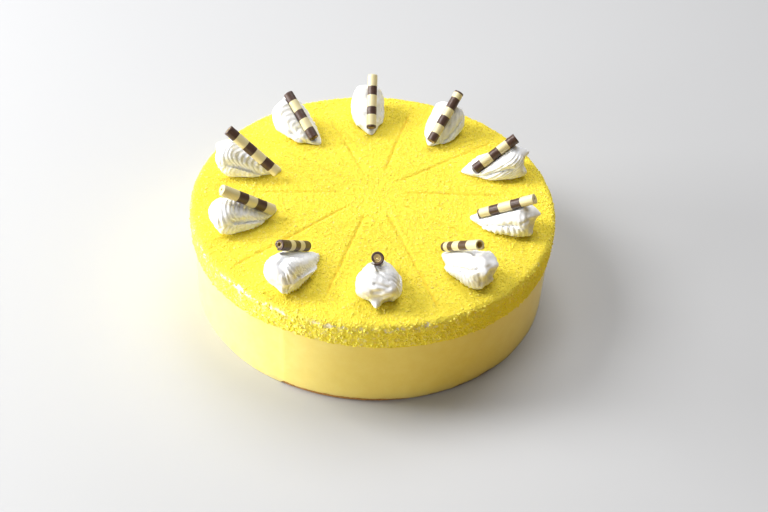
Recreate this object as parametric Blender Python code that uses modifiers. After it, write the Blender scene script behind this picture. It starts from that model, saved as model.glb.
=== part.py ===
"""Round sweet potato mousse cake with a crumbed top, ten piped cream shells and ten chocolate rolls.

Metres, +Z up. The origin is the middle of the cake's foot, and the shell nearest +X points along it.
"""

import math
from typing import NamedTuple

import bmesh
import bpy
from mathutils import Vector, noise

# The cake's own sizes.
CAKE_HEIGHT = 0.0588
SIDE_STEPS = 80
GAP = 0.0003

# Thin sponge that shows as a brown skin at the foot.
SPONGE_RADIUS = 0.1050
SPONGE_HEIGHT = 0.0024
SPONGE_ROUND = 0.0005

# Smooth mousse body.
MOUSSE_RADIUS = 0.1050
MOUSSE_TOP = 0.0452
MOUSSE_ROUND = 0.0006

# Top layer coated with fine crumbs, whose lower edge hangs unevenly over the mousse.
CRUMB_RADIUS = 0.1062
CRUMB_SHOULDER = 0.0036
SHOULDER_STEPS = 3
APRON_DROP = 0.0032
APRON_SWING = 0.0014
APRON_LEAN = 0.0013
APRON_LOWEST_ANGLE = math.radians(-30)
APRON_LEAST = 0.0004
CRUMB_RELIEF = 0.0005
CRUMB_WAVE = 0.0085
TOP_RINGS = (0.0, 0.013, 0.027, 0.041, 0.055, 0.069, 0.082, 0.093)

# Portion marks pressed into the crumbs, as (angle in degrees, inner end, outer end, depth).
MARK_CENTRE = (0.0010, 0.0059)
MARK_SLOPE = 1.0
MARK_LIFT = 0.0030
MARKS = (
    (1.0, 0.016, 0.076, 0.0009),
    (37.5, 0.018, 0.091, 0.0008),
    (76.5, 0.020, 0.085, 0.0009),
    (113.0, 0.020, 0.078, 0.0008),
    (148.0, 0.020, 0.072, 0.0006),
    (184.5, 0.018, 0.070, 0.0009),
    (223.0, 0.020, 0.104, 0.0009),
    (255.0, 0.021, 0.092, 0.0009),
    (290.5, 0.019, 0.103, 0.0009),
    (326.0, 0.019, 0.086, 0.0006),
)

# Piped shells. Each is a band of cream folded back over itself at its outer end.
ARC_STEPS = 16
LEG_STEPS = 8
FOLD_STEPS = 7
UNDERCUT = math.radians(30)
FLUTE_DEPTH = 0.0006
FLUTE_SHARE = 0.12
FOLD_ALONG = 0.74
FOLD_UP = 0.45
FOLD_SWELL = 0.06
TIP_CREASE = 0.0007
TIP_TOP = 0.0016
TOP_ALONG = 0.80
TOP_CURVE = 1.08
UPPER_SHARE = 0.86
UPPER_ALONG = 0.70
LOWER_ALONG = 0.62
LEG_ROUNDING = 0.61
BELLY = 1.25
LEFT_SQUARE = 0.78
BED_GAP = 0.0003
BED_END = 0.0020

# Hollow chocolate rolls.
ROLL_WALL = 0.0014
ROLL_SIDES = 18


class Toe(NamedTuple):
    """A small peak drawn out of a shell, placed by fractions of its length, half width and height."""

    along: float
    aside: float
    height: float
    turn: float
    push: float
    spread: float


class Shell(NamedTuple):
    """One piped shell: where its tail and outer end lie, and its sizes."""

    tail_angle: float
    tail_radius: float
    end_angle: float
    end_radius: float
    width: float
    height: float
    lower_tail: float
    bow: float
    toes: tuple = ()


class Roll(NamedTuple):
    """One chocolate roll: where its inner end lies, which way it points, its length, tilt and radius."""

    angle: float
    heading: float
    inner_radius: float
    inner_height: float
    length: float
    tilt: float
    radius: float


START_LEFT = Toe(0.26, 0.82, 0.10, 150.0, 0.0020, 0.0024)
START_RIGHT = Toe(0.26, -0.75, 0.05, -150.0, 0.0020, 0.0022)
WIDE_START = Toe(0.30, 0.80, 0.15, 100.0, 0.0036, 0.0040)
WING = Toe(0.97, -0.50, 0.78, -8.0, 0.0036, 0.0026)
NOTCH = Toe(1.0, -0.44, 0.48, 180.0, 0.0030, 0.0024)
LOBE = Toe(0.93, -0.50, 0.12, -25.0, 0.0028, 0.0026)
LONG_LOBE = Toe(0.93, -0.55, 0.12, -15.0, 0.0044, 0.0027)
LEFT_CORNER = Toe(0.94, 0.75, 0.10, 50.0, 0.0020, 0.0026)
FRONT_DENT = Toe(1.0, -0.05, 0.34, 180.0, 0.0024, 0.0020)
FRONT_BEAD = Toe(0.97, 0.02, 0.06, -5.0, 0.0062, 0.0025)
FRONT_RECESS = Toe(0.93, 0.50, 0.18, 205.0, 0.0030, 0.0028)
FRONT_LIFT = Toe(0.97, -0.42, 0.08, 170.0, 0.0016, 0.0034)
SIDE_TIP = Toe(0.94, 0.04, 0.77, 0.0, 0.0042, 0.0022)
LEFT_TIP = Toe(0.94, 0.28, 0.72, 15.0, 0.0036, 0.0020)
LEFT_NOTCH = Toe(0.97, 0.30, 0.42, 200.0, 0.0042, 0.0032)
LEFT_BEAD = Toe(0.97, 0.08, 0.22, 48.0, 0.0040, 0.0021)
LEFT_PEAK = Toe(0.93, 0.42, 0.09, 35.0, 0.0030, 0.0024)
RIGHT_END = (WING, NOTCH, LOBE)

SHELLS = (
    Shell(159.3, 0.0591, 167.5, 0.0964, 0.0217, 0.0198, 0.30, -0.0007, (START_LEFT, *RIGHT_END)),
    Shell(124.9, 0.0593, 130.0, 0.0953, 0.0223, 0.0202, 0.24, 0.0001, (START_LEFT, *RIGHT_END)),
    Shell(93.0, 0.0608, 94.1, 0.0965, 0.0211, 0.0195, 0.28, 0.0008, (START_LEFT, *RIGHT_END)),
    Shell(58.2, 0.0616, 59.2, 0.0925, 0.0220, 0.0192, 0.20, -0.0004, (LOBE,)),
    Shell(
        28.3, 0.0586, 19.7, 0.0954, 0.0212, 0.0183, 0.28, -0.0006,
        (WIDE_START, SIDE_TIP, NOTCH, LONG_LOBE),
    ),
    Shell(
        -15.2, 0.0573, -15.2, 0.0952, 0.0207, 0.0179, 0.26, -0.0002,
        (START_RIGHT, SIDE_TIP, NOTCH, LOBE),
    ),
    Shell(
        -50.2, 0.0610, -48.7, 0.0970, 0.0221, 0.0190, 0.22, 0.0001,
        (LEFT_TIP, LEFT_NOTCH, LEFT_BEAD, WING, LOBE),
    ),
    Shell(
        -85.2, 0.0540, -87.4, 0.0933, 0.0243, 0.0197, 0.24, 0.0003,
        (FRONT_DENT, FRONT_BEAD, FRONT_RECESS, FRONT_LIFT),
    ),
    Shell(-120.5, 0.0597, -120.6, 0.0988, 0.0204, 0.0204, 0.22, -0.0008, (LEFT_PEAK,)),
    Shell(-163.7, 0.0574, -158.2, 0.0968, 0.0212, 0.0184, 0.28, 0.0001, (START_LEFT, LEFT_CORNER)),
)

ROLLS = (
    Roll(167.3, 167.3, 0.0585, 0.0053, 0.0380, 40.0, 0.0034),
    Roll(127.8, 127.8, 0.0616, 0.0053, 0.0329, 29.7, 0.0034),
    Roll(93.0, 91.0, 0.0618, 0.0054, 0.0340, 38.0, 0.0034),
    Roll(56.1, 56.1, 0.0608, 0.0053, 0.0354, 34.9, 0.0034),
    Roll(22.1, 22.1, 0.0640, 0.0053, 0.0307, 34.7, 0.0034),
    Roll(-16.0, -16.0, 0.0629, 0.0053, 0.0351, 33.0, 0.0033),
    Roll(-49.8, -49.8, 0.0619, 0.0053, 0.0324, 37.6, 0.0034),
    Roll(-86.8, -90.4, 0.0588, 0.0054, 0.0345, 42.0, 0.0040),
    Roll(-124.6, -124.6, 0.0620, 0.0053, 0.0284, 35.9, 0.0033),
    Roll(-159.2, -159.2, 0.0604, 0.0053, 0.0352, 36.3, 0.0034),
)


def clear_scene():
    for obj in list(bpy.data.objects):
        bpy.data.objects.remove(obj, do_unlink=True)


def new_collection(name):
    made = bpy.data.collections.new(name)
    bpy.context.scene.collection.children.link(made)
    return made


def material(name, colour, roughness, metallic=0.0):
    made = bpy.data.materials.new(name)
    made.use_nodes = True
    shader = made.node_tree.nodes["Principled BSDF"]
    shader.inputs["Base Color"].default_value = (*colour, 1.0)
    shader.inputs["Roughness"].default_value = roughness
    shader.inputs["Metallic"].default_value = metallic
    made.diffuse_color = (*colour, 1.0)
    return made


def add_object(name, mesh, home, parent=None, finish=None):
    obj = bpy.data.objects.new(name, mesh)
    home.objects.link(obj)
    obj.parent = parent
    if finish is not None:
        mesh.materials.append(finish)
    return obj


def as_cutter(obj):
    obj.hide_render = True
    obj.display_type = "WIRE"
    return obj


def profile_mesh(name, points, closed=False):
    """An edge chain in the XZ plane, for a Screw modifier."""
    mesh = bpy.data.meshes.new(name)
    corners = [(x, 0.0, z) for x, z in points]
    count = len(points)
    edges = [(i, i + 1) for i in range(count - 1)]
    if closed:
        edges.append((count - 1, 0))
    mesh.from_pydata(corners, edges, [])
    return mesh


def turn(obj, steps, axis="Z"):
    screw = obj.modifiers.new("Turned", "SCREW")
    screw.axis = axis
    screw.angle = math.tau
    screw.steps = steps
    screw.render_steps = steps
    screw.use_merge_vertices = True
    screw.merge_threshold = 0.00002
    screw.use_smooth_shade = True
    return screw


def fixed_mesh(obj):
    """The object's evaluated mesh in place of its own, with the modifiers gone."""
    graph = bpy.context.evaluated_depsgraph_get()
    made = bpy.data.meshes.new_from_object(obj.evaluated_get(graph))
    obj.modifiers.clear()
    obj.data = made
    return made


def corner_round(centre_x, centre_z, radius, steps):
    """Points of a convex quarter round, from its top round to its side."""
    points = []
    for step in range(steps + 1):
        angle = math.pi / 2 * (1 - step / steps)
        points.append((centre_x + radius * math.cos(angle), centre_z + radius * math.sin(angle)))
    return points


def build_sponge(home, parent):
    top = SPONGE_HEIGHT
    profile = [
        (0.0, top),
        (SPONGE_RADIUS - SPONGE_ROUND, top),
        (SPONGE_RADIUS, top - SPONGE_ROUND),
        (SPONGE_RADIUS, SPONGE_ROUND),
        (SPONGE_RADIUS - SPONGE_ROUND, 0.0),
        (0.0, 0.0),
    ]
    finish = material("sponge_skin", (0.42, 0.22, 0.075), 0.85)
    obj = add_object("sponge_base", profile_mesh("sponge_base", profile), home, parent, finish)
    turn(obj, SIDE_STEPS)
    return obj


def build_mousse(home, parent):
    foot = SPONGE_HEIGHT + GAP
    profile = [(0.0, MOUSSE_TOP)]
    profile += corner_round(MOUSSE_RADIUS - MOUSSE_ROUND, MOUSSE_TOP - MOUSSE_ROUND, MOUSSE_ROUND, 1)
    profile += [(MOUSSE_RADIUS, foot + MOUSSE_ROUND), (MOUSSE_RADIUS - MOUSSE_ROUND, foot), (0.0, foot)]
    finish = material("mousse", (0.90, 0.82, 0.46), 0.30)
    obj = add_object("mousse_body", profile_mesh("mousse_body", profile), home, parent, finish)
    turn(obj, SIDE_STEPS)
    return obj


def crumb_profile():
    """The section of the crumbed layer, from the middle of its top round to the middle below."""
    under = MOUSSE_TOP + GAP
    inside = MOUSSE_RADIUS + GAP
    profile = [(radius, CAKE_HEIGHT) for radius in TOP_RINGS]
    shoulder_x = CRUMB_RADIUS - CRUMB_SHOULDER
    shoulder_z = CAKE_HEIGHT - CRUMB_SHOULDER
    profile += corner_round(shoulder_x, shoulder_z, CRUMB_SHOULDER, SHOULDER_STEPS)
    lowest = MOUSSE_TOP - APRON_DROP
    for part in (0.4, 0.8):
        profile.append((CRUMB_RADIUS, shoulder_z + part * (lowest - shoulder_z)))
    profile += [(CRUMB_RADIUS, lowest), (inside, lowest), (inside, under), (0.0, under)]
    return profile


def roughen_crumbs(mesh):
    """Sinks the top into shallow crags, roughens the side and lets the lower edge wander."""
    under = MOUSSE_TOP + GAP
    flat_top = CAKE_HEIGHT - CRUMB_RELIEF
    for vertex in mesh.vertices:
        place = vertex.co.copy()
        reach = math.hypot(place.x, place.y)
        if place.z < under + GAP and reach < MOUSSE_RADIUS:
            continue
        crag = 0.5 + 0.5 * noise.noise(place / CRUMB_WAVE)
        if place.z > flat_top:
            vertex.co.z = place.z - CRUMB_RELIEF * crag
            continue
        if place.z < MOUSSE_TOP - 0.5 * APRON_DROP:
            swing = APRON_SWING * noise.noise(Vector((place.x, place.y, 0.0)) / (1.6 * CRUMB_WAVE))
            lean = APRON_LEAN * math.cos(math.atan2(place.y, place.x) - APRON_LOWEST_ANGLE)
            drop = APRON_DROP + swing + lean
            vertex.co.z = MOUSSE_TOP - max(drop, APRON_LEAST)
        if reach > MOUSSE_RADIUS + 2 * GAP:
            scale = (reach - CRUMB_RELIEF * crag) / reach
            vertex.co.x = place.x * scale
            vertex.co.y = place.y * scale


def build_marks(cutters, parent):
    """One cutter that holds every portion mark, each a long three-sided wedge, point down."""
    shape = bmesh.new()
    for angle, inner, outer, depth in MARKS:
        along = Vector((math.cos(math.radians(angle)), math.sin(math.radians(angle)), 0.0))
        across = Vector((-along.y, along.x, 0.0))
        middle = Vector((*MARK_CENTRE, CAKE_HEIGHT - CRUMB_RELIEF / 2))
        half = MARK_SLOPE * (depth + MARK_LIFT)
        ends = []
        for reach in (inner, outer):
            base = middle + reach * along
            low = base - Vector((0.0, 0.0, depth))
            high = base + Vector((0.0, 0.0, MARK_LIFT))
            ends.append([low, high + half * across, high - half * across])
        first = [shape.verts.new(point) for point in ends[0]]
        last = [shape.verts.new(point) for point in ends[1]]
        shape.faces.new(first)
        shape.faces.new(list(reversed(last)))
        for i in range(3):
            j = (i + 1) % 3
            shape.faces.new((first[j], first[i], last[i], last[j]))
    bmesh.ops.recalc_face_normals(shape, faces=shape.faces)
    mesh = bpy.data.meshes.new("portion_marks")
    shape.to_mesh(mesh)
    shape.free()
    return as_cutter(add_object("portion_marks", mesh, cutters, parent))


def build_crumbs(home, cutters, parent):
    finish = material("crumbs", (0.93, 0.76, 0.11), 0.90)
    obj = add_object("crumb_top", profile_mesh("crumb_top", crumb_profile()), home, parent, finish)
    turn(obj, SIDE_STEPS)
    mesh = fixed_mesh(obj)
    roughen_crumbs(mesh)
    marks = build_marks(cutters, parent)
    cut = obj.modifiers.new("Portion marks", "BOOLEAN")
    cut.operation = "DIFFERENCE"
    cut.solver = "EXACT"
    cut.use_self = True
    cut.object = marks
    return obj


def ease(value):
    """A smooth step from 0 to 1."""
    value = min(max(value, 0.0), 1.0)
    return value * value * (3 - 2 * value)


class ShellForm:
    """The surface of one shell in its own frame: x from tail to outer end, z up from the crumbs."""

    def __init__(self, shell, length):
        self.length = length
        self.half_width = shell.width / 2
        self.height = shell.height
        self.lower_tail = shell.lower_tail * length
        self.bow = shell.bow
        self.toes = shell.toes
        self.fold_x = FOLD_ALONG * length
        self.fold_z = FOLD_UP * shell.height

    def crease_height(self, x):
        """How high the crease between the two legs runs."""
        rise = ease((x - 0.5 * self.lower_tail) / (self.fold_x - 0.5 * self.lower_tail))
        return TIP_CREASE + (self.fold_z - TIP_CREASE) * rise

    def top_height(self, x):
        rise = min(x / (TOP_ALONG * self.length), 1.0)
        return TIP_TOP + (self.height - TIP_TOP) * rise**TOP_CURVE

    def upper_width(self, x):
        run = min(x / (UPPER_ALONG * self.length), 1.0)
        return UPPER_SHARE * self.half_width * math.sin(math.pi / 2 * run) ** LEG_ROUNDING

    def lower_width(self, x):
        run = (x - self.lower_tail) / (LOWER_ALONG * self.length - self.lower_tail)
        spread = math.sin(math.pi / 2 * min(max(run, 0.0), 1.0)) ** LEG_ROUNDING
        narrow = 0.9 * self.upper_width(x)
        return narrow + (self.half_width - narrow) * spread

    def middle(self, x):
        """Sideways place of the middle line, which bows between tail and end."""
        return self.bow * math.sin(math.pi * min(x / self.length, 1.0))

    def with_toes(self, point):
        """The point, drawn out where a toe is near."""
        drawn = point.copy()
        for toe in self.toes:
            root = Vector((toe.along * self.length, toe.aside * self.half_width, toe.height * self.height))
            near = math.exp(-((point - root).length_squared) / (2 * toe.spread**2))
            turn_angle = math.radians(toe.turn)
            drawn.x += near * toe.push * math.cos(turn_angle)
            drawn.y += near * toe.push * math.sin(turn_angle)
        return drawn

    def arc(self, width, reach):
        """Half section round one leg as (y, distance from the crease), from left crease to right."""
        points = []
        low = math.sin(UNDERCUT)
        core = reach * low / (1 + low)
        for step in range(ARC_STEPS + 1):
            angle = -UNDERCUT + (math.pi + 2 * UNDERCUT) * step / ARC_STEPS
            y = width * math.cos(angle)
            if y > 0:
                y = width * math.cos(angle) ** LEFT_SQUARE
            out = reach * math.sin(angle) / (1 + low)
            size = max(math.hypot(y, out), 0.001)
            inner = 0 < step < ARC_STEPS and step % 2 == 0
            shrink = 1 - (min(FLUTE_DEPTH, FLUTE_SHARE * size) / size if inner else 0.0)
            points.append((y * shrink, core + out * shrink))
        return points

    def upper_arc(self, x):
        crease = self.crease_height(x)
        section = self.arc(self.upper_width(x), self.top_height(x) - crease)
        return [self.with_toes(Vector((x, y + self.middle(x), crease + out))) for y, out in section]

    def lower_arc(self, x):
        crease = self.crease_height(x)
        section = self.arc(self.lower_width(x), BELLY * crease)
        points = [Vector((x, y + self.middle(x), max(crease - out, 0.0))) for y, out in section]
        return [self.with_toes(point) for point in points]

    def fold_arc(self, turn_angle):
        """Half section at an angle round the outer end, from straight up (90) to straight down (-90)."""
        up = math.sin(turn_angle)
        outward = math.cos(turn_angle)
        blend = 0.5 - 0.5 * up
        width = self.upper_width(self.fold_x) * (1 - blend) + self.lower_width(self.fold_x) * blend
        rise = self.top_height(self.fold_x) - self.fold_z
        tall = rise if up > 0 else BELLY * self.fold_z
        end_reach = self.length - self.fold_x
        swell = 1 + FOLD_SWELL * math.sin(2 * turn_angle)
        reach = swell / math.hypot(outward / end_reach, up / tall)
        points = []
        for y, out in self.arc(width, reach):
            x = self.fold_x + out * outward
            z = max(self.fold_z + out * up, 0.0)
            points.append(self.with_toes(Vector((x, y + self.middle(x), z))))
        return points


def shell_mesh(name, form):
    """Closed surface of a shell: ringed legs from the tail tip to the fold, then a fan round the end."""
    shape = bmesh.new()
    tip = shape.verts.new((0.0, form.middle(0.0), TIP_CREASE))
    stations = [form.fold_x * ((i + 1) / LEG_STEPS) ** 1.05 for i in range(LEG_STEPS)]
    rings = []
    for x in stations:
        upper = [shape.verts.new(point) for point in form.upper_arc(x)]
        lower_points = form.lower_arc(x)
        inner = [shape.verts.new(point) for point in lower_points[1:-1]]
        rings.append((upper, [upper[0], *inner, upper[-1]]))
    first_upper, first_lower = rings[0]
    for j in range(ARC_STEPS):
        shape.faces.new((tip, first_upper[j + 1], first_upper[j]))
        shape.faces.new((tip, first_lower[j], first_lower[j + 1]))
    for (upper_a, lower_a), (upper_b, lower_b) in zip(rings, rings[1:]):
        for j in range(ARC_STEPS):
            shape.faces.new((upper_a[j], upper_a[j + 1], upper_b[j + 1], upper_b[j]))
            shape.faces.new((lower_a[j + 1], lower_a[j], lower_b[j], lower_b[j + 1]))
    last_upper, last_lower = rings[-1]
    fans = [last_upper]
    for step in range(1, FOLD_STEPS):
        points = form.fold_arc(math.pi / 2 - math.pi * step / FOLD_STEPS)
        inner = [shape.verts.new(point) for point in points[1:-1]]
        fans.append([last_upper[0], *inner, last_upper[-1]])
    fans.append(last_lower)
    for row_a, row_b in zip(fans, fans[1:]):
        for j in range(ARC_STEPS):
            corners = [row_a[j], row_a[j + 1], row_b[j + 1], row_b[j]]
            distinct = [vert for i, vert in enumerate(corners) if vert is not corners[i - 1]]
            shape.faces.new(distinct)
    bmesh.ops.triangulate(shape, faces=shape.faces)
    bmesh.ops.dissolve_degenerate(shape, dist=0.00001, edges=shape.edges)
    bmesh.ops.recalc_face_normals(shape, faces=shape.faces)
    mesh = bpy.data.meshes.new(name)
    shape.to_mesh(mesh)
    shape.free()
    mesh.shade_smooth()
    return mesh


def polar(radius, degrees, height=0.0):
    angle = math.radians(degrees)
    return Vector((radius * math.cos(angle), radius * math.sin(angle), height))


def build_shell(number, shell, finish, home, parent):
    tail = polar(shell.tail_radius, shell.tail_angle)
    end = polar(shell.end_radius, shell.end_angle)
    run = end - tail
    name = f"cream_{number:02d}"
    obj = add_object(name, shell_mesh(name, ShellForm(shell, run.length)), home, parent, finish)
    obj.location = (tail.x, tail.y, CAKE_HEIGHT + GAP)
    obj.rotation_euler = (0.0, 0.0, math.atan2(run.y, run.x))
    return obj


def place_roll(obj, roll):
    obj.location = polar(roll.inner_radius, roll.angle, CAKE_HEIGHT + roll.inner_height)
    obj.rotation_euler = (0.0, -math.radians(roll.tilt), math.radians(roll.heading))


def build_roll(number, roll, finish, home, parent):
    """A turned tube whose axis is the object's own X."""
    name = f"choc_roll_{number:02d}"
    bore = roll.radius - ROLL_WALL
    corners = ((roll.length, bore), (roll.length, roll.radius), (0.0, roll.radius), (0.0, bore))
    obj = add_object(name, profile_mesh(name, corners, closed=True), home, parent, finish)
    turn(obj, ROLL_SIDES, "X")
    place_roll(obj, roll)
    return obj


def build_bed(number, roll, shell_obj, cutters, parent):
    """Presses the roll's bed into the shell, a little wider than the roll."""
    name = f"roll_bed_{number:02d}"
    long = roll.length + 2 * BED_END
    shape = bmesh.new()
    bmesh.ops.create_cone(
        shape,
        cap_ends=True,
        segments=ROLL_SIDES,
        radius1=roll.radius + BED_GAP,
        radius2=roll.radius + BED_GAP,
        depth=long,
    )
    turn_to_x = Vector((1.0, 0.0, 0.0)).to_track_quat("Z", "Y").to_matrix()
    for vertex in shape.verts:
        vertex.co = turn_to_x @ vertex.co + Vector((roll.length / 2, 0.0, 0.0))
    mesh = bpy.data.meshes.new(name)
    shape.to_mesh(mesh)
    shape.free()
    cutter = as_cutter(add_object(name, mesh, cutters, parent))
    place_roll(cutter, roll)
    cut = shell_obj.modifiers.new("Roll bed", "BOOLEAN")
    cut.operation = "DIFFERENCE"
    cut.solver = "EXACT"
    cut.object = cutter
    return cutter


def main():
    clear_scene()
    home = new_collection("sweet_potato_cake")
    cutters = new_collection("cutters")
    foot = bpy.data.objects.new("cake_foot", None)
    home.objects.link(foot)
    build_sponge(home, foot)
    build_mousse(home, foot)
    build_crumbs(home, cutters, foot)
    cream = material("whipped_cream", (0.93, 0.92, 0.88), 0.45)
    chocolate = material("dark_chocolate", (0.085, 0.045, 0.036), 0.40)
    for number, (shell, roll) in enumerate(zip(SHELLS, ROLLS), start=1):
        shell_obj = build_shell(number, shell, cream, home, foot)
        build_roll(number, roll, chocolate, home, foot)
        build_bed(number, roll, shell_obj, cutters, foot)


main()
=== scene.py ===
"""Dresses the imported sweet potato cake: sponge, mousse, crumbs, piped cream shells and chocolate rolls."""

import logging
import math
from dataclasses import dataclass
from enum import Enum

import bmesh
import bpy
import numpy as np
from mathutils import Matrix, Vector, noise


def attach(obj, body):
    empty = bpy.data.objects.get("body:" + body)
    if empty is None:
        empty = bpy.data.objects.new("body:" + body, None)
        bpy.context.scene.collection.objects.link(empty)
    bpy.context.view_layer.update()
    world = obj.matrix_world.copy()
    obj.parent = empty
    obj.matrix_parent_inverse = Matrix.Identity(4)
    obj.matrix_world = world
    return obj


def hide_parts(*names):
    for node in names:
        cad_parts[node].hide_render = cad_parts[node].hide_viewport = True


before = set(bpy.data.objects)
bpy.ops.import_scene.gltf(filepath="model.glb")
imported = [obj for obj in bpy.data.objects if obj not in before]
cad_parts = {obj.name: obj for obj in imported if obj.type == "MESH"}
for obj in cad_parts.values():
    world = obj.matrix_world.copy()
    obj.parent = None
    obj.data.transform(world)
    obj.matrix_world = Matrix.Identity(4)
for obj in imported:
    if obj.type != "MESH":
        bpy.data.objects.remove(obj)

LOG = logging.getLogger("sweet_potato_cake")

Triple = tuple[float, float, float]
Faces = list[tuple[int, ...]]
Rows = list[list[int]]
Tree = bpy.types.NodeTree
Socket = bpy.types.NodeSocket

# The cake's own sizes, in metres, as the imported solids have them.
CAKE_HEIGHT = 0.0588
BODY_RADIUS = 0.1050
MOUSSE_TOP = 0.0452
CRUMB_RADIUS = 0.1062
CRUMB_SHOULDER = 0.0036
SPONGE_HEIGHT = 0.0024
LAYER_GAP = 0.0003

# Where the crumbs end on the side, as (angle in degrees, height).
CRUMB_EDGE = (
    (-180.0, 0.0418), (-151.0, 0.0412), (-131.0, 0.0421), (-113.0, 0.0442), (-96.0, 0.0433),
    (-72.0, 0.0423), (-50.0, 0.0409), (-34.0, 0.0398), (0.0, 0.0402), (45.0, 0.0414),
    (90.0, 0.0408), (140.0, 0.0424), (180.0, 0.0418),
)

# Places on the shoulder where cream shows through the crumbs, as (angle in degrees, height, half length).
BARE_PATCHES = (
    (-157.0, 0.0545, 0.0030), (-150.0, 0.0540, 0.0022), (-139.0, 0.0550, 0.0036), (-131.0, 0.0545, 0.0024),
    (-120.0, 0.0540, 0.0026), (-107.0, 0.0548, 0.0040), (-101.0, 0.0552, 0.0034), (-92.0, 0.0550, 0.0048),
    (-84.0, 0.0548, 0.0044), (-71.0, 0.0550, 0.0030), (-47.0, 0.0545, 0.0040), (-15.0, 0.0545, 0.0030),
    (22.0, 0.0548, 0.0036), (60.0, 0.0545, 0.0028), (105.0, 0.0550, 0.0040), (150.0, 0.0545, 0.0030),
)

# How much cream shows along the shoulder, as (angle in degrees, amount).
SHOULDER_BARE = (
    (-180.0, 0.35), (-165.0, 0.75), (-110.0, 0.95), (-75.0, 0.85), (-50.0, 0.45),
    (-10.0, 0.30), (60.0, 0.25), (120.0, 0.30), (180.0, 0.35),
)

# Portion marks pressed into the crumbs, as (angle in degrees, inner end, outer end, depth).
MARK_CENTRE = (0.0010, 0.0059)
MARKS = (
    (1.0, 0.016, 0.076, 0.0009), (37.5, 0.018, 0.091, 0.0008), (76.5, 0.020, 0.085, 0.0009),
    (113.0, 0.020, 0.078, 0.0008), (148.0, 0.020, 0.072, 0.0006), (184.5, 0.018, 0.070, 0.0009),
    (223.0, 0.020, 0.104, 0.0009), (255.0, 0.021, 0.092, 0.0009), (290.5, 0.019, 0.103, 0.0009),
    (326.0, 0.019, 0.086, 0.0006),
)


# Small tools


def polar(radius: float, degrees: float, height: float = 0.0) -> Vector:
    """A point by its distance from the cake's axis, its angle and its height."""
    angle = math.radians(degrees)
    return Vector((radius * math.cos(angle), radius * math.sin(angle), height))


def level_ring(degrees: np.ndarray, radius: float) -> np.ndarray:
    """Points at the given angles on a level circle round the axis."""
    angle = np.radians(degrees)
    return np.stack([np.cos(angle), np.sin(angle), 0 * degrees], axis=1) * radius


def ramp(value: np.ndarray, span: float) -> np.ndarray:
    """Rises from 0 to 1 while the value goes from 0 to the span."""
    return np.clip(value / span, 0, 1)


def bell(value: np.ndarray, width: float | np.ndarray) -> np.ndarray:
    """A soft bump, 1 where the value is 0 and near 0 past the width."""
    return np.exp(-((value / width) ** 2))


def crest(value: np.ndarray) -> np.ndarray:
    """Round crests at whole numbers, with slightly narrower valleys between them."""
    return (0.5 + 0.5 * np.cos(math.tau * value)) ** 0.8


def noise_at(points: np.ndarray, wave: float, seed: float = 0.0) -> np.ndarray:
    """Smooth noise from about -1 to 1 at each point, which changes over the wave's length."""
    shift = Vector((seed * 7.31, seed * 3.77, seed * 5.13))
    return np.array([noise.noise(Vector(point) / wave + shift) for point in points])


def layered(points: np.ndarray, *layers: Triple) -> np.ndarray:
    """Noise in layers, each given by its strength, its wave and its seed."""
    return sum(strength * noise_at(points, wave, seed) for strength, wave, seed in layers)


def socket_of(sockets: bpy.types.bpy_prop_collection, name: str | int) -> Socket:
    """A node's first enabled socket with this name, or the one with this number."""
    fits = (socket for socket in sockets if socket.enabled and socket.name == name)
    return sockets[name] if isinstance(name, int) else next(fits)


def out(node: bpy.types.Node, name: str | int = 0) -> Socket:
    """A node's output socket, by name or number."""
    return socket_of(node.outputs, name)


def put(
    tree: Tree, kind: str, inputs: dict[str | int, object] | None = None, **settings: object
) -> bpy.types.Node:
    """Adds a node to a tree.

    Args:
        tree: The tree that takes the node.
        kind: Blender's name for the node's type.
        inputs: Values for its inputs, or output sockets to link to them.
        settings: The node's own properties, set before its inputs.

    Returns:
        The new node.
    """
    node = tree.nodes.new(kind)
    for name, value in settings.items():
        setattr(node, name, value)
    for name, value in (inputs or {}).items():
        socket = socket_of(node.inputs, name)
        if isinstance(value, Socket):
            tree.links.new(value, socket)
        else:
            socket.default_value = value
    return node


def maths(tree: Tree, operation: str, *values: object) -> Socket:
    """The result of one operation on plain numbers or sockets."""
    return out(put(tree, "ShaderNodeMath", dict(enumerate(values)), operation=operation))


def drawn(tree: Tree, kind: str, low: object, high: object, seed: Socket) -> Socket:
    """A random value of one kind between two limits."""
    limits = {"Min": low, "Max": high, "Seed": seed}
    return out(put(tree, "FunctionNodeRandomValue", limits, data_type=kind), "Value")


def stretched(tree: Tree, value: Socket, low: object, high: object) -> Socket:
    """How far a value lies between two limits, from 0 to 1."""
    limits = {"Value": value, "From Min": low, "From Max": high}
    return out(put(tree, "ShaderNodeMapRange", limits), "Result")


def offer(tree: Tree, way: str, kind: str, *names: str) -> None:
    """Gives a tree named sockets of one kind, as its INPUT or its OUTPUT."""
    for name in names:
        tree.interface.new_socket(name, in_out=way, socket_type=f"NodeSocket{kind}")


def object_noise(tree: Tree, kind: str = "Noise", **inputs: object) -> bpy.types.Node:
    """A texture node that reads the piece's own coordinates."""
    place = out(put(tree, "ShaderNodeTexCoord"), "Object")
    return put(tree, f"ShaderNodeTex{kind}", {"Vector": place, **inputs})


def point_numbers(rows: int, count: int) -> Rows:
    """The numbers of points that lie in rows of one length."""
    return [list(range(k * count, (k + 1) * count)) for k in range(rows)]


def quads_between(rows: Rows, closed: bool) -> Faces:
    """Makes the faces between neighbouring rows of points.

    Args:
        rows: Point numbers, row by row, all of one length.
        closed: Whether the last point of a row joins its first.

    Returns:
        The faces, as point numbers.
    """
    faces = []
    for row, following in zip(rows, rows[1:]):
        count = len(row)
        for i in range(count if closed else count - 1):
            j = (i + 1) % count
            faces.append((row[i], row[j], following[j], following[i]))
    return faces


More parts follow.
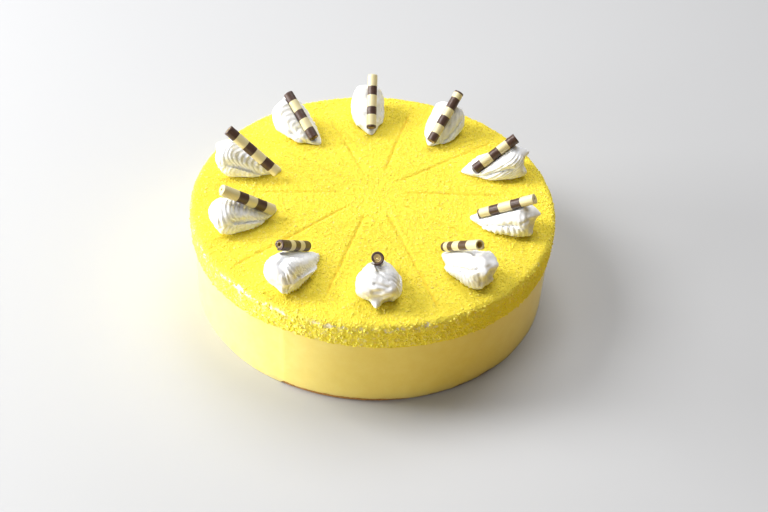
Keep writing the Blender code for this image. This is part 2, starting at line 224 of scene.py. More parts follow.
def mesh_from(name: str, points: np.ndarray, faces: Faces) -> bpy.types.Mesh:
    """Makes a smooth mesh.

    Args:
        name: The mesh's name.
        points: Rows of x, y and z.
        faces: The faces, as point numbers.

    Returns:
        The mesh.
    """
    mesh = bpy.data.meshes.new(name)
    mesh.from_pydata(points.tolist(), [], faces)
    mesh.validate()
    mesh.shade_smooth()
    return mesh


def turn_outward(mesh: bpy.types.Mesh) -> None:
    """Cuts a closed mesh's many-cornered faces into triangles and turns every face outward.

    Args:
        mesh: The mesh, changed in place.
    """
    shape = bmesh.new()
    shape.from_mesh(mesh)
    bmesh.ops.triangulate(shape, faces=[face for face in shape.faces if len(face.verts) > 4])
    bmesh.ops.recalc_face_normals(shape, faces=shape.faces)
    shape.to_mesh(mesh)
    shape.free()


def place_object(name: str, mesh: bpy.types.Mesh) -> bpy.types.Object:
    """Makes an object at the origin.

    Args:
        name: The object's name.
        mesh: Its mesh.

    Returns:
        The object, linked to the scene.
    """
    made = bpy.data.objects.new(name, mesh)
    bpy.context.scene.collection.objects.link(made)
    return made


def settled(piece: bpy.types.Object) -> bpy.types.Object:
    """Puts a piece's evaluated mesh in place of its modifiers.

    Args:
        piece: The piece with its live modifiers.

    Returns:
        The same piece, without them.
    """
    made = bpy.data.meshes.new_from_object(piece.evaluated_get(bpy.context.evaluated_depsgraph_get()))
    piece.modifiers.clear()
    piece.data = made
    return piece


def read_rows(values: bpy.types.bpy_prop_collection, name: str) -> np.ndarray:
    """Reads a vector of each point or normal of a mesh.

    Args:
        values: The mesh's points or normals.
        name: The vector's name.

    Returns:
        Rows of x, y and z.
    """
    flat = np.empty(len(values) * 3, np.float32)
    values.foreach_get(name, flat)
    return flat.reshape(-1, 3).astype(float)


def move_points(mesh: bpy.types.Mesh, points: np.ndarray) -> None:
    """Puts the mesh's points where the rows say."""
    mesh.vertices.foreach_set("co", points.astype(np.float32).ravel())
    mesh.update()


def keep_values(mesh: bpy.types.Mesh, name: str, values: np.ndarray) -> None:
    """Stores one number for each point under a name that materials and node trees can read."""
    layer = mesh.attributes.new(name, "FLOAT", "POINT")
    layer.data.foreach_set("value", values.astype(np.float32))


def hand_over(piece: bpy.types.Object, slot: str, *nodes: str) -> bpy.types.Object:
    """Ties a finished piece to the cake's one body.

    Args:
        piece: The piece.
        slot: Not used.
        nodes: The solids that it stands for, if any.

    Returns:
        The same piece.
    """
    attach(piece, "root")
    if nodes:
        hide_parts(*nodes)
    LOG.info("%s: %d faces", piece.name, len(piece.data.polygons))
    return piece


def dressed(mesh: bpy.types.Mesh, finish: bpy.types.Material, slot: str, node: str) -> bpy.types.Object:
    """Makes a piece of a mesh, dresses it and ties it to the body.

    Args:
        mesh: The piece's mesh, whose name it takes.
        finish: Its material.
        slot: Its material slot.
        node: The solid that it stands for.

    Returns:
        The finished piece.
    """
    piece = place_object(mesh.name, mesh)
    mesh.materials.append(finish)
    return hand_over(piece, slot, node)


# Shared shader effects


class Effect(Enum):
    """The shared effects that materials draw on."""

    MOTTLE = "mottled_colour"
    GRAIN = "fine_grain"


def add_mottle(tree: Tree) -> None:
    """Fills a group that blends two colours by soft noise.

    Args:
        tree: The empty group.
    """
    offer(tree, "INPUT", "Color", "Light", "Dark")
    offer(tree, "INPUT", "Float", "Scale", "Spread")
    offer(tree, "OUTPUT", "Color", "Colour")
    given = put(tree, "NodeGroupInput")
    cloud = object_noise(tree, Scale=out(given, "Scale"), Detail=4.0, Roughness=0.6)
    low = maths(tree, "SUBTRACT", 0.5, out(given, "Spread"))
    high = maths(tree, "ADD", 0.5, out(given, "Spread"))
    mask = stretched(tree, out(cloud, "Fac"), low, high)
    colour = blended(tree, mask, out(given, "Light"), out(given, "Dark"))
    put(tree, "NodeGroupOutput", {"Colour": colour})


def add_grain(tree: Tree) -> None:
    """Fills a group that gives the height of fine grain with a few pits in it.

    Args:
        tree: The empty group.
    """
    offer(tree, "INPUT", "Float", "Scale", "Pits")
    offer(tree, "OUTPUT", "Float", "Height")
    given = put(tree, "NodeGroupInput")
    fine = object_noise(tree, Scale=out(given, "Scale"), Detail=5.0, Roughness=0.65)
    pit = object_noise(tree, "Voronoi", Scale=out(given, "Scale"))
    deep = stretched(tree, out(pit, "Distance"), 0.0, 0.25)
    low = maths(tree, "MULTIPLY", deep, out(given, "Pits"))
    put(tree, "NodeGroupOutput", {"Height": maths(tree, "ADD", out(fine, "Fac"), low)})


def effect_group(effect: Effect) -> Tree:
    """Gives the node group of a shared effect, built the first time that it is asked for.

    Args:
        effect: The effect.

    Returns:
        Its group.
    """
    ready = bpy.data.node_groups.get(effect.value)
    if ready is None:
        ready = bpy.data.node_groups.new(effect.value, "ShaderNodeTree")
        {Effect.MOTTLE: add_mottle, Effect.GRAIN: add_grain}[effect](ready)
    return ready


def blended(tree: Tree, mask: Socket, first: Triple | Socket, second: Triple | Socket) -> Socket:
    """Turns one colour into another as the mask goes from 0 to 1.

    Args:
        tree: The tree that takes the node.
        mask: Says how far the colour has turned.
        first: The colour where the mask is 0, plain or from a socket.
        second: The colour where the mask is 1.

    Returns:
        The socket of the blended colour.
    """
    start, end = (side if isinstance(side, Socket) else (*side, 1.0) for side in (first, second))
    inputs = {"Factor": mask, "A": start, "B": end}
    return out(put(tree, "ShaderNodeMix", inputs, data_type="RGBA"), "Result")


def stored(tree: Tree, name: str) -> Socket:
    """A number that the mesh keeps for each point."""
    return out(put(tree, "ShaderNodeAttribute", attribute_name=name), "Fac")


# Finishes


@dataclass(frozen=True)
class Finish:
    """What every edible surface shares: its colours, sheen, softness and fine relief."""

    name: str
    light: Triple
    dark: Triple
    mottle_scale: float
    mottle_spread: float
    roughness: float
    coat: float
    softness: float
    soft_scale: float
    soft_radius: Triple
    grain_scale: float
    grain_pits: float
    grain_depth: float

    def material(self) -> bpy.types.Material:
        """Builds the material.

        Returns:
            A material with one Principled BSDF, coloured by colour() and roughened by the grain.
        """
        made = bpy.data.materials.new(self.name)
        made.use_nodes = True
        tree = made.node_tree
        shader = tree.nodes["Principled BSDF"]
        plain = {
            "Roughness": self.roughness, "Coat Weight": self.coat, "Coat Roughness": 0.25,
            "Subsurface Weight": self.softness, "Subsurface Scale": self.soft_scale,
            "Subsurface Radius": self.soft_radius,
        }
        for name, value in plain.items():
            shader.inputs[name].default_value = value
        tree.links.new(self.colour(tree), shader.inputs["Base Color"])
        values = {"Scale": self.grain_scale, "Pits": self.grain_pits}
        grain = out(put(tree, "ShaderNodeGroup", values, node_tree=effect_group(Effect.GRAIN)), "Height")
        bump = put(tree, "ShaderNodeBump", {"Height": grain, "Distance": self.grain_depth, "Strength": 1.0})
        tree.links.new(out(bump, "Normal"), shader.inputs["Normal"])
        return made

    def mottled(self, tree: Tree) -> Socket:
        """Blends the light and dark colours by soft noise.

        Args:
            tree: The material's tree.

        Returns:
            The socket of the blended colour.
        """
        colours = {"Light": (*self.light, 1.0), "Dark": (*self.dark, 1.0)}
        values = {**colours, "Scale": self.mottle_scale, "Spread": self.mottle_spread}
        return out(put(tree, "ShaderNodeGroup", values, node_tree=effect_group(Effect.MOTTLE)), "Colour")

    def colour(self, tree: Tree) -> Socket:
        """The socket that colours the surface."""
        return self.mottled(tree)


@dataclass(frozen=True)
class CoatFinish(Finish):
    """Packed crumbs: cream shows where they are thin; painted shade in the marks; a side painted paler as
    light.
    """

    bare: Triple = (0.955, 0.94, 0.80)
    # Painted shade: the darker, deeper yellow that stands for the shade in the marks' grooves.
    pressed_shade: Triple = (0.87, 0.58, 0.03)
    # Painted light: a paler copy of the crumb colour on the side, lifting the shade that falls there.
    wall: Triple = (0.98, 0.92, 0.10)

    def colour(self, tree: Tree) -> Socket:
        """Lays painted shade in the marks and then bare cream over the crumb colour; the side is painted
        paler as light.

        Args:
            tree: The material's tree.

        Returns:
            The socket that colours the surface.
        """
        # Painted light: the side takes the paler wall colour.
        body = blended(tree, stored(tree, "side"), self.mottled(tree), self.wall)
        # Painted shade along the portion marks.
        shaded_marks = blended(tree, stored(tree, "pressed_shade"), body, self.pressed_shade)
        return blended(tree, stored(tree, "bare"), shaded_marks, self.bare)


@dataclass(frozen=True)
class GrainFinish(Finish):
    """Loose crumbs, each with a tone of its own."""

    pale: Triple = (0.98, 0.84, 0.20)
    # Painted light: paler copies of the crumb tones for the side, lifting the shade that falls there.
    painted_light_wall_pale: Triple = (0.99, 0.96, 0.17)
    painted_light_wall_deep: Triple = (0.98, 0.90, 0.08)
    dry_from: float = 0.86

    def colour(self, tree: Tree) -> Socket:
        """Goes from dark to light by each crumb's tone, painted paler on the side as light, and paler for the
        driest few.

        Args:
            tree: The material's tree.

        Returns:
            The socket that colours the surface.
        """
        tone = stored(tree, "tone")
        flat = blended(tree, tone, self.dark, self.light)
        # Painted light: the side takes these paler tones.
        painted_light_steep = blended(tree, tone, self.painted_light_wall_deep, self.painted_light_wall_pale)
        body = blended(tree, stored(tree, "side"), flat, painted_light_steep)
        return blended(tree, stretched(tree, tone, self.dry_from, 1.0), body, self.pale)


@dataclass(frozen=True)
class RollFinish(Finish):
    """Dark chocolate with pale bands round it."""

    band: Triple = (0.70, 0.63, 0.38)
    inside: Triple = (0.82, 0.62, 0.22)
    waver: float = 0.16
    edge: float = 0.10

    def colour(self, tree: Tree) -> Socket:
        """Paints the bands, whose edges waver a little, and the golden inside.

        Args:
            tree: The material's tree.

        Returns:
            The socket that colours the surface.
        """
        waver = out(object_noise(tree, Scale=900.0, Detail=3.0), "Fac")
        pushed = maths(tree, "MULTIPLY_ADD", waver, self.waver, -self.waver / 2)
        moved = maths(tree, "ADD", stored(tree, "band"), pushed)
        mask = stretched(tree, moved, -self.edge, self.edge)
        banded = blended(tree, mask, self.mottled(tree), self.band)
        return blended(tree, stored(tree, "inside"), banded, self.inside)


SPONGE = Finish(
    "sponge_skin", light=(0.62, 0.36, 0.13), dark=(0.36, 0.17, 0.05), mottle_scale=900.0, mottle_spread=0.16,
    roughness=0.8, coat=0.0, softness=0.1, soft_scale=0.001, soft_radius=(1.0, 0.5, 0.25),
    grain_scale=2200.0, grain_pits=0.6, grain_depth=0.0003,
)
MOUSSE = Finish(
    "set_mousse", light=(0.945, 0.87, 0.34), dark=(0.885, 0.785, 0.245), mottle_scale=110.0,
    mottle_spread=0.30, roughness=0.36, coat=0.10, softness=0.35, soft_scale=0.004,
    soft_radius=(1.0, 0.88, 0.38), grain_scale=1300.0, grain_pits=0.15, grain_depth=0.00004,
)
COAT = CoatFinish(
    "packed_crumbs", light=(0.91, 0.78, 0.07), dark=(0.87, 0.69, 0.04), mottle_scale=700.0,
    mottle_spread=0.16, roughness=0.85, coat=0.0, softness=0.25, soft_scale=0.0010,
    soft_radius=(1.0, 0.8, 0.25), grain_scale=1100.0, grain_pits=0.6, grain_depth=0.00025,
)
GRAINS = GrainFinish(
    "loose_crumbs", light=(0.92, 0.81, 0.085), dark=(0.89, 0.71, 0.04), mottle_scale=800.0,
    mottle_spread=0.2, roughness=0.85, coat=0.0, softness=0.0, soft_scale=0.0004,
    soft_radius=(1.0, 0.8, 0.25), grain_scale=4000.0, grain_pits=0.3, grain_depth=0.00006,
)
CREAM = Finish(
    "whipped_cream", light=(0.89, 0.91, 0.955), dark=(0.865, 0.885, 0.94), mottle_scale=260.0,
    mottle_spread=0.2, roughness=0.5, coat=0.05, softness=0.4, soft_scale=0.0012,
    soft_radius=(1.0, 0.98, 0.95), grain_scale=2600.0, grain_pits=0.25, grain_depth=0.00008,
)
ROLLED = RollFinish(
    "banded_chocolate", light=(0.080, 0.041, 0.030), dark=(0.056, 0.027, 0.019), mottle_scale=500.0,
    mottle_spread=0.2, roughness=0.38, coat=0.1, softness=0.05, soft_scale=0.001,
    soft_radius=(1.0, 0.6, 0.4), grain_scale=2400.0, grain_pits=0.3, grain_depth=0.00006,
)


# Body of the cake


def ring_points(radii: np.ndarray, angles: np.ndarray, heights: np.ndarray) -> np.ndarray:
    """Points of a turned shape, ring by ring, from their radii and heights."""
    return np.stack([radii * np.cos(angles), radii * np.sin(angles), heights], axis=2).reshape(-1, 3)


def turned_solid(name: str, radii: np.ndarray, heights: np.ndarray) -> bpy.types.Mesh:
    """Makes a closed turned shape, from its top ring down its outside to its bottom ring.

    Args:
        name: The mesh's name.
        radii: One row of radii for each ring, one value for each step round.
        heights: The same for the heights.

    Returns:
        The mesh.
    """
    steps = radii.shape[1]
    points = ring_points(radii, np.arange(steps) * math.tau / steps, heights)
    rows = point_numbers(len(radii), steps)
    top, foot = len(points), len(points) + 1
    ends = np.array([[0.0, 0.0, heights[0].mean()], [0.0, 0.0, heights[-1].mean()]])
    faces = [face[::-1] for face in quads_between(rows, closed=True)]
    for i in range(steps):
        j = (i + 1) % steps
        faces.append((top, rows[0][i], rows[0][j]))
        faces.append((foot, rows[-1][j], rows[-1][i]))
    return mesh_from(name, np.vstack([points, ends]), faces)


def by_angle(degrees: np.ndarray, table: tuple[tuple[float, float], ...]) -> np.ndarray:
    """Reads a value that a table gives by angle, eased between its rows.

    Args:
        degrees: The angles to read at.
        table: Rows of an angle and its value, from -180 to 180.

    Returns:
        One value for each angle.
    """
    at, value = np.array(table).T
    wrapped = (degrees + 180.0) % 360.0 - 180.0
    place = np.clip(np.searchsorted(at, wrapped, side="right") - 1, 0, len(at) - 2)
    share = (wrapped - at[place]) / (at[place + 1] - at[place])
    share = share * share * (3 - 2 * share)
    return value[place] * (1 - share) + value[place + 1] * share


@dataclass
class CakeBody:
    """The smooth mousse and the sponge skin under it."""

    steps: int = 420
    wall_rows: int = 46
    skirt: float = 0.0004
    edge_in: float = 0.0006
    edge_down: float = 0.0005
    foot_in: float = 0.0001
    foot_up: float = 0.0003
    wobble: float = 0.00016
    film_edge: float = -116.0
    film_step: float = 0.00022
    film_fade: float = 9.0
    skin_from: float = -116.5
    skin_start: float = 0.6
    skin_to: float = -70.0
    skin_end: float = 14.0
    skin_height: float = 0.0013
    skin_broad: float = 0.0009
    skin_rough: float = 0.0005
    ragged_start: float = 6.0
    ragged_end: float = 8.0
    ragged_to: float = -42.0
    ragged_height: float = 0.0017
    mousse_foot: float = 0.00012
    # The sponge's outline, as (share of its radius, height) from the top down.
    sponge_rows: tuple[tuple[float, float], ...] = (
        (0.5, 0.0026), (0.999, 0.0026), (1.0, 0.0022), (1.0, 0.0015),
        (1.0, 0.0008), (0.999, 0.0002), (0.5, 0.0),
    )

    def lower_edge(self, degrees: np.ndarray) -> np.ndarray:
        """Says how high the mousse ends above the foot: high where the sponge shows, ragged beside it.

        Args:
            degrees: The angles round the cake.

        Returns:
            One height for each angle.
        """
        ring = level_ring(degrees, BODY_RADIUS)
        rough = 0.5 + 0.5 * noise_at(ring, 0.0016, 3.0)
        broad = 0.5 + 0.5 * noise_at(ring, 0.0060, 4.0)
        skin = ramp(degrees - self.skin_from, self.skin_start) * ramp(self.skin_to - degrees, self.skin_end)
        ragged = np.clip((degrees - self.skin_to) / self.ragged_start + 1, 0, 1)
        ragged = ragged * ramp(self.ragged_to - degrees, self.ragged_end)
        shown = skin * (self.skin_height + self.skin_broad * broad + self.skin_rough * rough)
        return self.mousse_foot + shown + ragged * self.ragged_height * rough * (1 - 0.7 * skin)

    def build_mousse(self) -> bpy.types.Object:
        """Builds and dresses the mousse.

        Returns:
            The finished piece.
        """
        degrees = np.degrees(np.arange(self.steps) * math.tau / self.steps)
        degrees = (degrees + 180.0) % 360.0 - 180.0
        low = self.lower_edge(degrees)
        inner = BODY_RADIUS - self.skirt
        under = SPONGE_HEIGHT + LAYER_GAP
        share = np.arange(self.wall_rows + 1)[:, None] / self.wall_rows
        wall = (MOUSSE_TOP - self.edge_down) * (1 - share) + (low + self.foot_up) * share
        reach = [0.5 * BODY_RADIUS, BODY_RADIUS - self.edge_in] + [BODY_RADIUS] * len(wall)
        reach += [BODY_RADIUS - self.foot_in, inner, inner, 0.5 * BODY_RADIUS]
        radii = np.array(reach)[:, None] * np.ones(self.steps)
        ones = np.ones((2, self.steps))
        heights = np.vstack([MOUSSE_TOP * ones, wall, low, low, under * ones])
        points = ring_points(radii, np.radians(degrees), heights * 0.5)
        bulge = layered(points, (1.0, 0.022, 1.0), (0.35, 0.006, 2.0)).reshape(radii.shape)
        lip = self.film_step * np.exp(-((degrees - self.film_edge) % 360.0) / self.film_fade)
        outside = (radii > inner + 0.00005) & (heights < MOUSSE_TOP - 0.0001)
        radii = radii + outside * (self.wobble * (bulge - 0.6) + lip[None, :])
        mesh = turned_solid("mousse_side", radii, heights)
        return dressed(mesh, MOUSSE.material(), "mousse", "mousse_body")

    def build_sponge(self) -> bpy.types.Object:
        """Builds and dresses the sponge.

        Returns:
            The finished piece.
        """
        edge = BODY_RADIUS - self.skirt - 0.00005
        shares, levels = np.array(self.sponge_rows).T
        radii = (edge * shares)[:, None] * np.ones(self.steps)
        heights = levels[:, None] * np.ones(self.steps)
        points = ring_points(radii, np.arange(self.steps) * math.tau / self.steps, heights)
        rough = (0.5 + 0.5 * noise_at(points, 0.0014, 5.0)).reshape(radii.shape)
        radii = radii - 0.0003 * rough * (radii > 0.6 * edge)
        mesh = turned_solid("sponge_skin", radii, heights)
        return dressed(mesh, SPONGE.material(), "sponge", "sponge_base")


# Crumbs


class Spread(Enum):
    """Where a kind of crumb lies, as the name of the amounts that the surface keeps for it."""

    EVEN = "crumbed"
    SIDE = "lumpy"


@dataclass(frozen=True)
class Crumb:
    """One size of loose crumb: how large, how many on a square metre, and how they are scattered."""

    name: str
    size: float
    density: float
    seed: int
    faces: int
    where: Spread = Spread.EVEN
    least: float = 0.6
    most: float = 1.5


CRUMBS = (
    Crumb("crumbs_fine", 0.00034, 500000.0, 11, 4),
    Crumb("crumbs_small", 0.00041, 480000.0, 17, 4),
    Crumb("crumbs_mid", 0.00048, 420000.0, 23, 4),
    Crumb("crumbs_coarse", 0.00062, 150000.0, 37, 6, Spread.SIDE),
)
CRUMB_SHAPES = 6
CRUMB_SUNK = 0.15


def crumb_shape(tree: Tree, roundness: Socket, number: int) -> Socket:
    """Adds one lumpy crumb to the tree.

    Args:
        tree: The crumbs' node tree.
        roundness: How many faces go round the crumb.
        number: Which of the shapes it is.

    Returns:
        The crumb as an instance.
    """
    rings = maths(tree, "DIVIDE", roundness, 2.0)
    ball = put(tree, "GeometryNodeMeshUVSphere", {"Radius": 1.0, "Segments": roundness, "Rings": rings})
    waves = {"W": 3.7 * number, "Scale": 1.1, "Detail": 2.0}
    lumpy = out(put(tree, "ShaderNodeTexNoise", waves, noise_dimensions="4D"), "Color")
    centred = put(tree, "ShaderNodeVectorMath", {0: lumpy, 1: (0.5, 0.5, 0.5)}, operation="SUBTRACT")
    pushed = put(tree, "ShaderNodeVectorMath", {0: out(centred), 1: (1.6, 1.6, 1.4)}, operation="MULTIPLY")
    lump = put(tree, "GeometryNodeSetPosition", {"Geometry": out(ball, "Mesh"), "Offset": out(pushed)})
    return out(put(tree, "GeometryNodeGeometryToInstance", {"Geometry": out(lump)}))


def crumb_tree(finish: bpy.types.Material) -> Tree:
    """Builds the node tree that scatters crumbs over a surface.

    Args:
        finish: The material that the crumbs take.

    Returns:
        A Geometry Nodes tree with inputs for size, least and most of it, density, seed, roundness and place.
    """
    tree = bpy.data.node_groups.new("scatter_crumbs", "GeometryNodeTree")
    offer(tree, "INPUT", "Geometry", "Geometry")
    offer(tree, "INPUT", "Float", "Size", "Least", "Most", "Density")
    offer(tree, "INPUT", "Int", "Seed", "Roundness")
    offer(tree, "INPUT", "String", "Where")
    offer(tree, "OUTPUT", "Geometry", "Geometry")
    given = put(tree, "NodeGroupInput")
    size, seed = out(given, "Size"), out(given, "Seed")
    keep = put(tree, "GeometryNodeInputNamedAttribute", {"Name": out(given, "Where")}, data_type="FLOAT")
    wanted = maths(tree, "MULTIPLY", out(keep, "Attribute"), out(given, "Density"))
    source = {"Mesh": out(given, "Geometry"), "Density": wanted, "Seed": seed}
    spots = put(tree, "GeometryNodeDistributePointsOnFaces", source, distribute_method="RANDOM")
    deep = {0: out(spots, "Normal"), "Scale": maths(tree, "MULTIPLY", size, -CRUMB_SUNK)}
    inward = out(put(tree, "ShaderNodeVectorMath", deep, operation="SCALE"))
    sunk = put(tree, "GeometryNodeSetPosition", {"Geometry": out(spots, "Points"), "Offset": inward})
    tone = {"Geometry": out(sunk), "Name": "tone", "Value": drawn(tree, "FLOAT", 0.0, 1.0, seed)}
    toned = put(tree, "GeometryNodeStoreNamedAttribute", tone, data_type="FLOAT", domain="POINT")
    kinds = [crumb_shape(tree, out(given, "Roundness"), number) for number in range(CRUMB_SHAPES)]
    shapes = put(tree, "GeometryNodeJoinGeometry")
    for kind in kinds:
        tree.links.new(kind, shapes.inputs[0])
    turn = drawn(tree, "FLOAT_VECTOR", (0.0, 0.0, 0.0), (math.tau, math.tau, math.tau), seed)
    share = drawn(tree, "FLOAT", out(given, "Least"), out(given, "Most"), seed)
    places = {
        "Points": out(toned), "Instance": out(shapes), "Pick Instance": True,
        "Instance Index": drawn(tree, "INT", 0, CRUMB_SHAPES - 1, seed),
        "Rotation": out(put(tree, "FunctionNodeEulerToRotation", {"Euler": turn})),
        "Scale": maths(tree, "MULTIPLY", share, size),
    }
    spread = out(put(tree, "GeometryNodeInstanceOnPoints", places))
    solid = put(tree, "GeometryNodeRealizeInstances", {"Geometry": spread})
    angular = put(tree, "GeometryNodeSetShadeSmooth", {"Geometry": out(solid), "Shade Smooth": False})
    ready = put(tree, "GeometryNodeSetMaterial", {"Geometry": out(angular), "Material": finish})
    put(tree, "NodeGroupOutput", {"Geometry": out(ready)})
    return tree


@dataclass
class CrumbCoat:
    """The crumbed top layer: its packed surface, the portion marks and the loose crumbs on it."""

    cells: int = 248
    shoulder_rows: int = 8
    wall_rows: int = 20
    relief: float = 0.00042
    coarse_from: float = 0.070
    wall_relief: float = 0.0006
    jitter: float = 0.00014
    bare_drop: float = 0.0024
    bare_depth: float = 0.0003
    patch_width: float = 0.0014
    brow_width: float = 0.0016
    brow_share: float = 0.60
    bare_from: float = 0.44
    bare_span: float = 0.16
    mark_start: float = 0.004
    mark_end: float = 0.006
    mark_wander: float = 0.0004
    mark_ragged: float = 0.35
    mark_width: float = 0.0008
    mark_full: float = 0.0009

    def top_grid(self) -> tuple[np.ndarray, Rows, list[int]]:
        """Eases a square grid into a disc.

        Returns:
            The points, the point numbers row by row, and those of the rim in order round it.
        """
        count = self.cells + 1
        side = np.linspace(-1.0, 1.0, count)
        x, y = np.meshgrid(side, side, indexing="ij")
        flat = np.stack([x * np.sqrt(1 - y * y / 2), y * np.sqrt(1 - x * x / 2), np.zeros_like(x)], axis=2)
        points = (flat * (CRUMB_RADIUS - CRUMB_SHOULDER)).reshape(-1, 3)
        points[:, 2] = CAKE_HEIGHT
        rows = point_numbers(count, count)
        rim = [row[0] for row in rows] + rows[-1][1:] + [row[-1] for row in rows[-2::-1]]
        return points, rows, rim + rows[0][-2:0:-1]

    def edge_height(self, degrees: np.ndarray) -> np.ndarray:
        """How high the crumbs end on the side at each angle, with a ragged edge."""
        ragged = layered(level_ring(degrees, CRUMB_RADIUS), (0.0005, 0.0028, 6.0), (0.0006, 0.0085, 7.0))
        return by_angle(degrees, CRUMB_EDGE) + ragged

    def build_mesh(self) -> bpy.types.Mesh:
        """Builds the layer's closed mesh before its relief.

        Returns:
            The mesh.
        """
        points, rows, rim = self.top_grid()
        faces = quads_between(rows, closed=False)
        outward = points[rim] / np.linalg.norm(points[rim, :2], axis=1)[:, None]
        low = self.edge_height(np.degrees(np.arctan2(outward[:, 1], outward[:, 0])))
        rings = []
        for k in range(1, self.shoulder_rows + 1):
            angle = math.pi / 2 * (1 - k / self.shoulder_rows)
            reach = CRUMB_RADIUS - CRUMB_SHOULDER * (1 - math.cos(angle))
            rings.append((reach, np.full(len(rim), CAKE_HEIGHT - CRUMB_SHOULDER * (1 - math.sin(angle)))))
        brow = CAKE_HEIGHT - CRUMB_SHOULDER
        for k in range(1, self.wall_rows + 1):
            share = k / self.wall_rows
            thin = 0.0005 * max(0.0, (share - 0.75) / 0.25) ** 2
            rings.append((CRUMB_RADIUS - thin, brow * (1 - share) + low * share))
        inside = BODY_RADIUS + LAYER_GAP
        under = np.full(len(rim), MOUSSE_TOP + LAYER_GAP)
        rings += [(inside, low), (inside, under), (0.6 * inside, under)]
        all_points = [points]
        before = rim
        start = len(points)
        for reach, height in rings:
            all_points.append(np.stack([outward[:, 0] * reach, outward[:, 1] * reach, height], axis=1))
            here = list(range(start, start + len(rim)))
            faces += quads_between([before, here], closed=True)
            before = here
            start += len(rim)
        all_points.append(np.array([[0.0, 0.0, MOUSSE_TOP + LAYER_GAP]]))
        faces += [(corner, before[(i + 1) % len(before)], start) for i, corner in enumerate(before)]
        mesh = mesh_from("crumb_coat", np.vstack(all_points), faces)
        turn_outward(mesh)
        return mesh

    def mark_depth(self, points: np.ndarray) -> np.ndarray:
        """Works out how deep the portion marks press each point.

        Args:
            points: Rows of x, y and z.

        Returns:
            One depth for each point, 0 outside the marks.
        """
        deep = np.zeros(len(points))
        offset = points[:, :2] - np.array(MARK_CENTRE)
        ragged = 1 + self.mark_ragged * noise_at(points, 0.0022, 8.0)
        for degrees, inner, outer, depth in MARKS:
            way = np.array([math.cos(math.radians(degrees)), math.sin(math.radians(degrees))])
            along = offset @ way
            wander = self.mark_wander * noise_at(points, 0.012, degrees)
            aside = offset @ np.array([-way[1], way[0]]) + wander
            fade = ramp(along - inner, self.mark_start) * ramp(outer - along, self.mark_end)
            deep = np.maximum(deep, depth * fade * bell(aside, self.mark_width * ragged))
        return deep * (points[:, 2] > MOUSSE_TOP + 0.008)

    def bareness(self, points: np.ndarray) -> np.ndarray:
        """Works out where cream shows through.

        Args:
            points: Rows of x, y and z.

        Returns:
            One value for each point, from 0 under crumbs to 1 where it is bare.
        """
        bare = np.zeros(len(points))
        for degrees, height, half in BARE_PATCHES:
            way = np.array(polar(1.0, degrees + 90.0))
            offset = points - np.array(polar(CRUMB_RADIUS - 0.001, degrees, height))
            along = offset @ way
            rest = np.linalg.norm(offset - along[:, None] * way, axis=1)
            bare = np.maximum(bare, np.exp(-((along / half) ** 2) - (rest / self.patch_width) ** 2))
        degrees = np.degrees(np.arctan2(points[:, 1], points[:, 0]))
        near_rim = np.linalg.norm(points[:, :2], axis=1) > CRUMB_RADIUS - 0.005
        brow = bell(points[:, 2] - CAKE_HEIGHT + self.bare_drop, self.brow_width) * near_rim
        bare = np.maximum(bare, self.brow_share * (by_angle(degrees, SHOULDER_BARE) * brow))
        speck = layered(points, (0.6, 0.0026, 9.0), (0.5, 0.0012, 9.5))
        patchy = 0.25 * noise_at(points, 0.0110, 9.8)
        return ramp(bare + patchy + 0.62 * speck - self.bare_from, self.bare_span)

    def shape_relief(self, mesh: bpy.types.Mesh) -> None:
        """Sinks crags and marks into the surface and stores what the material and the crumbs need.

        Args:
            mesh: The layer's mesh, changed in place.
        """
        points = read_rows(mesh.vertices, "co")
        facing = read_rows(mesh.vertex_normals, "vector")
        reach = np.linalg.norm(points[:, :2], axis=1)
        seen = ~((points[:, 2] < MOUSSE_TOP + 0.0006) & (reach < BODY_RADIUS + 0.00045))
        crags = layered(points, (0.6, 0.0085, 1.0), (0.5, 0.0036, 2.0), (0.35, 0.0019, 3.0))
        lumps = layered(points, (0.8, 0.0030, 4.0), (0.7, 0.0015, 5.0))
        marks = self.mark_depth(points)
        bare = self.bareness(points) * seen
        coarse = 1 + 0.35 * ramp(reach - self.coarse_from, 0.02)
        jitter = np.random.default_rng(5).uniform(-1.0, 1.0, len(points))
        side = ramp(CAKE_HEIGHT - points[:, 2], CRUMB_SHOULDER) * (reach > BODY_RADIUS - 0.004)
        depth = self.relief * coarse * (0.45 - 0.5 * crags) + marks + self.bare_depth * bare
        depth += self.wall_relief * side * (0.35 - 0.5 * lumps) + self.jitter * jitter
        move_points(mesh, points - facing * (depth * seen)[:, None])
        # How far each point lies in a mark: it sets the painted shade there and thins the loose crumbs.
        pressed_shade = ramp(marks, self.mark_full)
        degrees = np.degrees(np.arctan2(points[:, 1], points[:, 0]))
        thin = side * np.clip(by_angle(degrees, SHOULDER_BARE) * (0.9 * lumps + 0.1), 0, 0.6)
        crumbed = seen * (1 - 0.93 * bare) * (1 - 0.75 * pressed_shade)
        keep_values(mesh, "pressed_shade", pressed_shade * 0.8)
        keep_values(mesh, "bare", np.maximum(bare, thin))
        keep_values(mesh, Spread.EVEN.value, crumbed)
        keep_values(mesh, Spread.SIDE.value, crumbed * (0.3 + 0.7 * side))
        # Where the side wall is; the materials paint the crumbs paler there as light.
        keep_values(mesh, "side", side)

